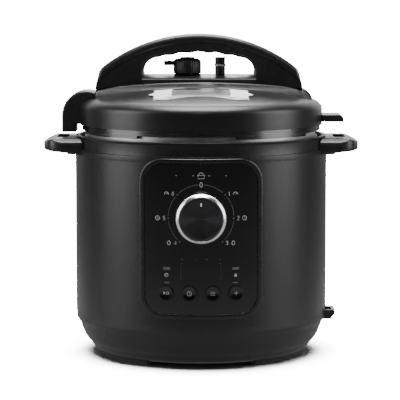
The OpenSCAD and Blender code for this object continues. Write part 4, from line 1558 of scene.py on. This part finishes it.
@dataclass
class Handle:
    """The arched lid handle, its shell, and the arm and fin that stand on the side handles."""

    lid: Lid
    cap_depth: float = 9.0
    seam: float = -0.25
    arch_radius: float = 170.0
    opening_radius: float = 165.0
    opening_half: float = 59.5
    scallop: float = 1.3
    scallop_pitch: float = 19.0
    corner: float = 16.0
    fillet: float = 6.0
    end_blend: float = 1.2
    foot: Point = (111.8, 161.2)  # the seam's end: how far across, and from the arch's centre
    grip_depth: float = 13.5
    arch_low: float = 304.2
    arm_centre: Point = (-123.0, 257.8)
    skirt_x: float = 129.3  # where the arm and the fin pass through the cover's skirt

    def radius_at(self, turn: float) -> float:
        """How far the handle's outside is from the arch's centre.

        Args:
            turn: angle from upright, in radians.
        Returns:
            The distance.
        """
        sine, cosine = abs(math.sin(turn)), math.cos(turn)
        far = self.arch_radius
        for (ax, az), (bx, bz) in zip(self.end_line, self.end_line[1:]):
            cross = sine * (bz - az) - cosine * (bx - ax)
            if abs(cross) > 1e-9:
                hit = (ax * (bz - az) - az * (bx - ax)) / cross
                along = (ax * cosine - az * sine) / cross
                if hit > 0 and -1e-6 <= along <= 1 + 1e-6:
                    far = lowest((hit, far), self.end_blend)
        return far

    def measure(self) -> None:
        """Reads the arch from the frame."""
        low, high = box_mm("handle_cap")
        self.top = high[2]
        self.depth = high[1]
        self.mid = (low[0] + high[0]) / 2
        self.half = (high[0] - low[0]) / 2
        self.centre = self.top - self.arch_radius
        self.limit = math.asin(self.foot[0] / self.foot[1])
        raised = [(self.half - 0.6, 283), (self.half, 287), (self.half - 4, 304), (100, 350)]
        self.end_line = [(x, z - self.centre) for x, z in raised]

    def fan(self, steps: int, radius: Optional[float] = None) -> list[Point]:
        """Points along the handle's outside, or along an arc inside it, from left to right.

        Args:
            steps: how many stretches.
            radius: radius of the arc; the outside is followed where it is nearer.
        Returns:
            The points, in X and Z.
        """
        points = []
        reach = self.limit
        for k in range(steps + 1):
            turn = -reach + 2 * reach * k / steps
            far = self.radius_at(turn)
            far = far if radius is None else min(far, radius)
            points.append((self.mid + far * math.sin(turn), self.centre + far * math.cos(turn)))
        return points

    def build_cap(self) -> None:
        """Carries the shell's outline through the handle's depth, with full round edges."""
        inner = self.arch_radius - self.cap_depth
        outside = self.fan(120)
        seam = self.fan(120, inner)[::-1]
        thick = [math.hypot(x - self.mid, z - self.centre) - inner for x, z in outside]
        shares = [max(0.01, min(1.0, (t - 0.6) / 6.0)) for t in thick]
        outline = outside + seam[1:-1]
        shares += [0.1 * share for share in shares[1:-1]]
        Shape().slab(outline, -self.depth, self.depth, 4.4, across, shares, 7).piece(
            "handle_shell", Kit.CAP, "lid", "handle_cap_satin", ["handle_cap"], sharp=50)

    def build_grip(self) -> None:
        """Carries the grip's outline through, with the finger scallops under the arch."""
        seam = self.fan(120, self.arch_radius - self.cap_depth - self.seam)
        mid, half, c = self.mid, self.opening_half, self.corner
        bow = self.centre - self.grip_depth
        under = []
        for k in range(81):
            x = half - c - 2 * (half - c) * k / 80
            z = bow + math.sqrt(self.opening_radius ** 2 - x * x)
            wave = 0.5 * (1 + math.cos(2 * math.pi * (x + mid + 12.0) / self.scallop_pitch))
            z -= self.scallop * wave * min(1.0, max(0.0, (47 - abs(x)) / 6))
            under.append((mid + x, z))
        right = [(mid + half - c + c * math.cos(t), self.arch_low + c * math.sin(t))
                 for t in (math.radians(6 * k) for k in range(0, 15))]
        left = [(2 * mid - x, z) for x, z in reversed(right)]
        f = self.fillet
        floor = [(mid + half - f, self.lid.strip_top(mid + half) - 0.4)]
        floor += [(mid + half - f + f * math.sin(t), self.arch_low - f * math.cos(t))
                  for t in (math.radians(15 * k) for k in range(6))]
        floor_left = [(2 * mid - x, z) for x, z in reversed(floor)]
        tip = self.half - 0.5
        steps = [mid + tip + (half - f - tip) * k / 12 for k in range(12)]
        foot_right = [(x, self.lid.strip_top(x) - 0.4) for x in steps]
        foot_left = [(2 * mid - x, self.lid.strip_top(2 * mid - x) - 0.4) for x, _ in reversed(foot_right)]
        opening = floor + right + under[1:-1] + left + floor_left
        outline = seam + foot_right + opening + foot_left
        rise = [0.1, 0.1, 0.2, 0.35, 0.5, 0.7, 0.9]
        shares = [0.1] * (len(seam) + len(foot_right)) + rise + [1.0] * (len(opening) - 2 * len(rise))
        shares += rise[::-1] + [0.1] * len(foot_left)
        Shape().slab(outline, -self.depth + 0.12, self.depth - 0.12, 3.6, across, shares, 6).piece(
            "handle_arch", Kit.HANDLE, "lid", "handle_black", ["handle_grip"], sharp=50)

    def build_arm(self) -> None:
        """Builds the arm that comes down from the handle's left end."""
        low, high = box_mm("lid_arm")
        cx, cz = self.arm_centre
        r = cx - low[0]
        stop = math.acos((high[0] + 0.05 - cx) / r)
        bow = [(cx + r * math.cos(t), cz + r * math.sin(t))
               for t in (math.pi - (math.pi - stop) * k / 24 for k in range(25))]
        skirt = self.lid.skirt
        sunk = ((113.1, 113.1, 0.6), (120, 120, 1.0), (126, 126, 1.0), (self.skirt_x, 129.6, 1.5))
        inside = [(-x, self.lid.cover_z(reach) - depth) for x, reach, depth in sunk]
        inside += [(-self.skirt_x, skirt + 0.4), (-134.5, skirt + 0.4), (-134.5, low[2])]
        outline = [(low[0], low[2]), *bow, *inside]
        shares = [1.0] * (1 + len(bow)) + [0.0] * 5 + [1.0] * 2
        shares[len(bow)] = 0.6
        Shape().slab(outline, low[1], high[1], 2.6, across, shares, 5).piece(
            "lid_arm_shell", Kit.HANDLE, "lid", "handle_black", ["lid_arm"], sharp=40)

    def build_fin(self) -> None:
        """Builds the fin on the right of the lid."""
        low, high = box_mm("lid_fin")
        outline = soften([(self.skirt_x, low[2]), (high[0], low[2]), (high[0] - 0.6, high[2] - 2.7),
                          (high[0] - 3, high[2]), (self.skirt_x, high[2])], 0.8)
        Shape().slab(outline, low[1], high[1], 0.9, across, None, 3).piece(
            "lid_fin_shell", Kit.HANDLE, "lid", "matte_black", ["lid_fin"], sharp=40)

    def build(self) -> None:
        """Builds the handle, the arm and the fin."""
        self.measure()
        self.build_cap()
        self.build_grip()
        self.build_arm()
        self.build_fin()


@dataclass
class Valves:
    """The steam release with its lever and weight, and the float valve."""

    flutes: int = 36
    flute_depth: float = 0.4
    knob_radius: float = 15.0
    bulb: float = 4.8
    neck: float = 3.3

    def build(self) -> None:
        """Builds the knob, its lever and the float."""
        low, high = box_mm("steam_release_knob")
        cx, radius = high[0] - self.knob_radius, self.knob_radius
        top = high[2]

        def put(r: float, angle: float, h: float) -> Point3:
            """Puts a turned point about the knob's axis."""
            return (cx + r * math.cos(angle), r * math.sin(angle), h)

        def fluted(r: float, h: float, angle: float) -> float:
            """Depth of the flutes on the knob's wall."""
            if r < radius - 2.3 or h < low[2] + 2:
                return 0.0
            return -self.flute_depth * (0.5 + 0.5 * math.cos(angle * self.flutes))

        profile = [(AXIS_HOLE, top), (5, top - 0.05), (9.5, top - 0.3), (12, top - 0.75), (13.6, top - 1.6),
                   (14.6, top - 2.8), (radius, top - 4.2), (radius, low[2] + 1.4), (14.5, low[2] + 0.3),
                   (13.6, low[2]), (12.4, low[2] + 0.2), (12.4, 315.0), (AXIS_HOLE, 315.2)]
        Shape().turn(profile, self.flutes * 8, put, fluted).piece(
            "steam_knob", Kit.HANDLE, "release_knob", "handle_black", ["steam_release_knob"], sharp=50)
        tip = low[0] + self.bulb
        bow = [(tip + self.bulb * math.cos(t), self.bulb * math.sin(t))
               for t in (math.radians(50 + 260 * k / 24) for k in range(25))]
        start = cx - 11.0
        root = [(start, 5.0), (start - 2.6, 4.0), (start - 4.5, self.neck)]
        outline = [*root, *bow, *((x, -y) for x, y in reversed(root))]
        Shape().slab(outline, 311.0, 316.0, 0.8, lambda u, v, d: (u, v, d)).piece(
            "steam_lever", Kit.HANDLE, "release_knob", "handle_black", sharp=50)
        self.build_float()
        dress("valve_weight", Kit.SCREW, 0.25)
        dress("float_seal", Kit.SILICONE)

    def build_float(self) -> None:
        """Turns the float valve's pin."""
        pin_low, pin_high = box_mm("float_valve")
        px, pz = (pin_low[0] + pin_high[0]) / 2, pin_high[2]
        pin = [(AXIS_HOLE, pin_low[2]), (2.45, pin_low[2]), (2.45, 290), (5.2, 291), (5.2, pz - 3.4),
               (5.5, pz - 2.6), (6.2, pz - 1.8), (6.2, pz - 0.5), (5.6, pz), (4.5, pz), (3.9, pz - 0.9),
               (AXIS_HOLE, pz - 1.0)]

        def put(r: float, angle: float, h: float) -> Point3:
            """Puts a turned point about the pin's axis."""
            return (px + r * math.cos(angle), r * math.sin(angle), h)

        Shape().turn(soften(pin, 0.35), 64, put).piece(
            "float_pin_body", Kit.FLOAT, "float_pin", "float_chrome", ["float_valve"], sharp=40)


class Inside:
    """What the housing hides: outer pot, heater, sensor, boards and fasteners."""

    FINISHES = {
        "base_screws": (Kit.SCREW, "screw_steel"), "handle_screws": (Kit.SCREW, "screw_steel"),
        "outer_pot": (Kit.SPUN_POT, "pot_aluminium"), "bayonet_flange": (Kit.SHADED_LID_STEEL, "lid_steel"),
        "heating_plate": (Kit.PLATE, "plate_aluminium"), "plate_supports": (Kit.SCREW, "screw_steel"),
        "heater_leads": (Kit.SLEEVING, "lead_sleeve"), "pressure_switch": (Kit.CREAM, "switch_cream"),
        "thermal_fuse": (Kit.SCREW, "screw_steel"), "power_board": (Kit.MASK, "circuit_green"),
        "board_components": (Kit.PARTS, "component_black"), "control_board": (Kit.MASK, "circuit_green"),
        "selector_encoder": (Kit.SCREW, "screw_steel"), "button_switches": (Kit.PARTS, "component_black"),
        "display_module": (Kit.PARTS, "component_black"), "sensor_bracket": (Kit.SCREW, "screw_steel"),
        "sensor_spring": (Kit.SCREW, "screw_steel"), "temperature_sensor": (Kit.POT_STEEL, "pot_steel"),
    }

    def build(self) -> None:
        """Dresses every hidden node."""
        for node, (finish, slot) in self.FINISHES.items():
            dress(node, finish)


# ------------------------------------------------------------------ studio


@dataclass
class Studio:
    """Pale floor, soft lights and the camera."""

    camera_at: Point3 = (-0.0011, -2.2, 0.400)
    camera_tilt: float = 83.89
    lens: float = 182.9
    sensor: float = 36.0
    floor_radius: float = 5.0
    floor_grey: float = 0.1
    backdrop: float = 22.0
    painted_shadow_reach: float = 0.17  # how far the painted contact shadow shows, in metres; ambient occlusion paints it into the floor's glow
    painted_shadow_power: float = 1.3
    painted_bounce_glow: float = 0.3  # painted bounce light: glow that the floor next to the object sends at it, standing for light the floor gives back
    bounce_span: Point = (0.35, 0.9)  # distances between which it fades out, in metres
    centre: Point3 = (0.0, 0.0, 0.17)

    def build_world(self) -> None:
        """Lights the room: bright behind and above, dark in front, plain white to look at."""
        world = bpy.data.worlds.new("studio")
        bpy.context.scene.world = world
        world.use_nodes = True
        tree = world.node_tree
        tree.nodes.clear()

        def node(kind: str, **settings: object) -> bpy.types.Node:
            """Adds a node to the world's tree."""
            made = tree.nodes.new(kind)
            for key, value in settings.items():
                setattr(made, key, value)
            return made

        coords = node("ShaderNodeTexCoord")
        split = node("ShaderNodeSeparateXYZ")
        tree.links.new(coords.outputs["Generated"], split.inputs[0])
        total = None
        bands = (("Y", 0.5, 1.0, 0.0, 2.0), ("Z", 0.55, 0.95, 0.0, 0.3), ("Z", -1.0, 1.0, 0.006, 0.012))
        for axis, start, end, low, high in bands:
            band = node("ShaderNodeMapRange", interpolation_type="SMOOTHSTEP")
            for name, number in (("From Min", start), ("From Max", end), ("To Min", low), ("To Max", high)):
                band.inputs[name].default_value = number
            tree.links.new(split.outputs[axis], band.inputs["Value"])
            if total is None:
                total = band.outputs["Result"]
                continue
            summed = node("ShaderNodeMath", operation="ADD")
            tree.links.new(total, summed.inputs[0])
            tree.links.new(band.outputs["Result"], summed.inputs[1])
            total = summed.outputs[0]
        soft = node("ShaderNodeBackground")
        tree.links.new(total, soft.inputs["Strength"])
        plain = node("ShaderNodeBackground")
        plain.inputs["Strength"].default_value = self.backdrop
        path = node("ShaderNodeLightPath")
        mix = node("ShaderNodeMixShader")
        tree.links.new(path.outputs["Is Camera Ray"], mix.inputs[0])
        tree.links.new(soft.outputs[0], mix.inputs[1])
        tree.links.new(plain.outputs[0], mix.inputs[2])
        tree.links.new(mix.outputs[0], node("ShaderNodeOutputWorld").inputs[0])

    def build_floor(self) -> None:
        """Lays the pale floor."""
        ring = [(self.floor_radius * math.cos(t), self.floor_radius * math.sin(t), -0.0002)
                for t in (2 * math.pi * k / 96 for k in range(96))]
        mesh = bpy.data.meshes.new("floor")
        mesh.from_pydata(ring, [], [tuple(range(96))])
        floor = bpy.data.objects.new("floor", mesh)
        bpy.context.scene.collection.objects.link(floor)
        mesh.materials.append(self.floor_material())

    def floor_material(self) -> bpy.types.Material:
        """Makes the floor white to look at, with a painted contact shadow, and dim to the object that stands
        on it but for a painted bounce glow near it.

        Returns:
            The material.
        """
        graph = Graph("pale_floor")
        inputs = graph.shader.inputs
        inputs["Base Color"].default_value = (*[self.floor_grey] * 3, 1)
        inputs["Roughness"].default_value = 0.7
        inputs["Specular IOR Level"].default_value = 0.1
        inputs["Emission Color"].default_value = (1, 1, 1, 1)
        nearby = graph.node("ShaderNodeAmbientOcclusion")
        nearby.inputs["Distance"].default_value = self.painted_shadow_reach
        seen = graph.node("ShaderNodeLightPath").outputs["Is Camera Ray"]
        # painted contact shadow: ambient occlusion darkens the floor's camera-seen glow near the object
        painted_contact_shadow = graph.maths("POWER", nearby.outputs["AO"], self.painted_shadow_power)
        glow = graph.maths("MULTIPLY", graph.spread(painted_contact_shadow, 0.0, self.backdrop), seen)
        # painted bounce light: near the object the floor glows at it, though it is no lamp
        near = graph.spread(graph.length(graph.coords), self.painted_bounce_glow, 0.0, *self.bounce_span)
        unseen = graph.maths("SUBTRACT", 1.0, seen)
        graph.join(graph.maths("MULTIPLY_ADD", near, unseen, glow), inputs["Emission Strength"])
        return graph.material

    def light(self, name: str, at: Point3, aim: Point3, size: Point, power: float) -> None:
        """Hangs a soft rectangular light.

        Args:
            name: the light's name.
            at: where it hangs, in metres.
            aim: the point that it faces.
            size: its width and height.
            power: its power in watts.
        """
        data = bpy.data.lights.new(name, "AREA")
        data.shape = "RECTANGLE"
        data.size, data.size_y = size
        data.energy = power
        lamp = bpy.data.objects.new(name, data)
        bpy.context.scene.collection.objects.link(lamp)
        lamp.location = at
        away = [b - a for a, b in zip(at, aim)]
        flat = math.hypot(away[0], away[1])
        lamp.rotation_euler = (math.atan2(flat, -away[2]), 0.0, math.atan2(-away[0], away[1]))

    def build(self) -> None:
        """Sets up the camera, floor, world and lights."""
        data = bpy.data.cameras.new("camera")
        data.sensor_width = self.sensor
        data.lens = self.lens
        camera = bpy.data.objects.new("camera", data)
        camera.location = self.camera_at
        camera.rotation_euler = (math.radians(self.camera_tilt), 0.0, 0.0)
        bpy.context.scene.collection.objects.link(camera)
        bpy.context.scene.camera = camera
        self.build_world()
        self.build_floor()
        self.light("top", (0.0, 0.1, 2.6), (0.0, 0.0, 0.2), (1.5, 1.8), 150.0)
        self.light("top_back", (0.0, 2.3, 1.9), (0.0, 0.0, 0.28), (0.8, 1.0), 34.0)
        for name, x in (("left_strip", -2.0), ("right_strip", 2.0)):
            self.light(name, (x, -0.5, 0.75), self.centre, (1.35, 1.9), 34.0)
        self.light("front_fill", (0.0, -3.4, 2.6), self.centre, (1.0, 0.6), 12.0)


def main() -> None:
    """Builds the studio and every sub-assembly in order, and reports each one."""
    logging.basicConfig(level=logging.INFO, format="%(message)s")
    Studio().build()
    lid = Lid()
    parts = (Housing(), Panel(), Selector(), Keys(), Pot(), lid, Handle(lid), Valves(), Inside())
    for part in parts:
        part.build()
        LOG.info("%s: done", type(part).__name__)


if __name__ == "__main__":
    main()
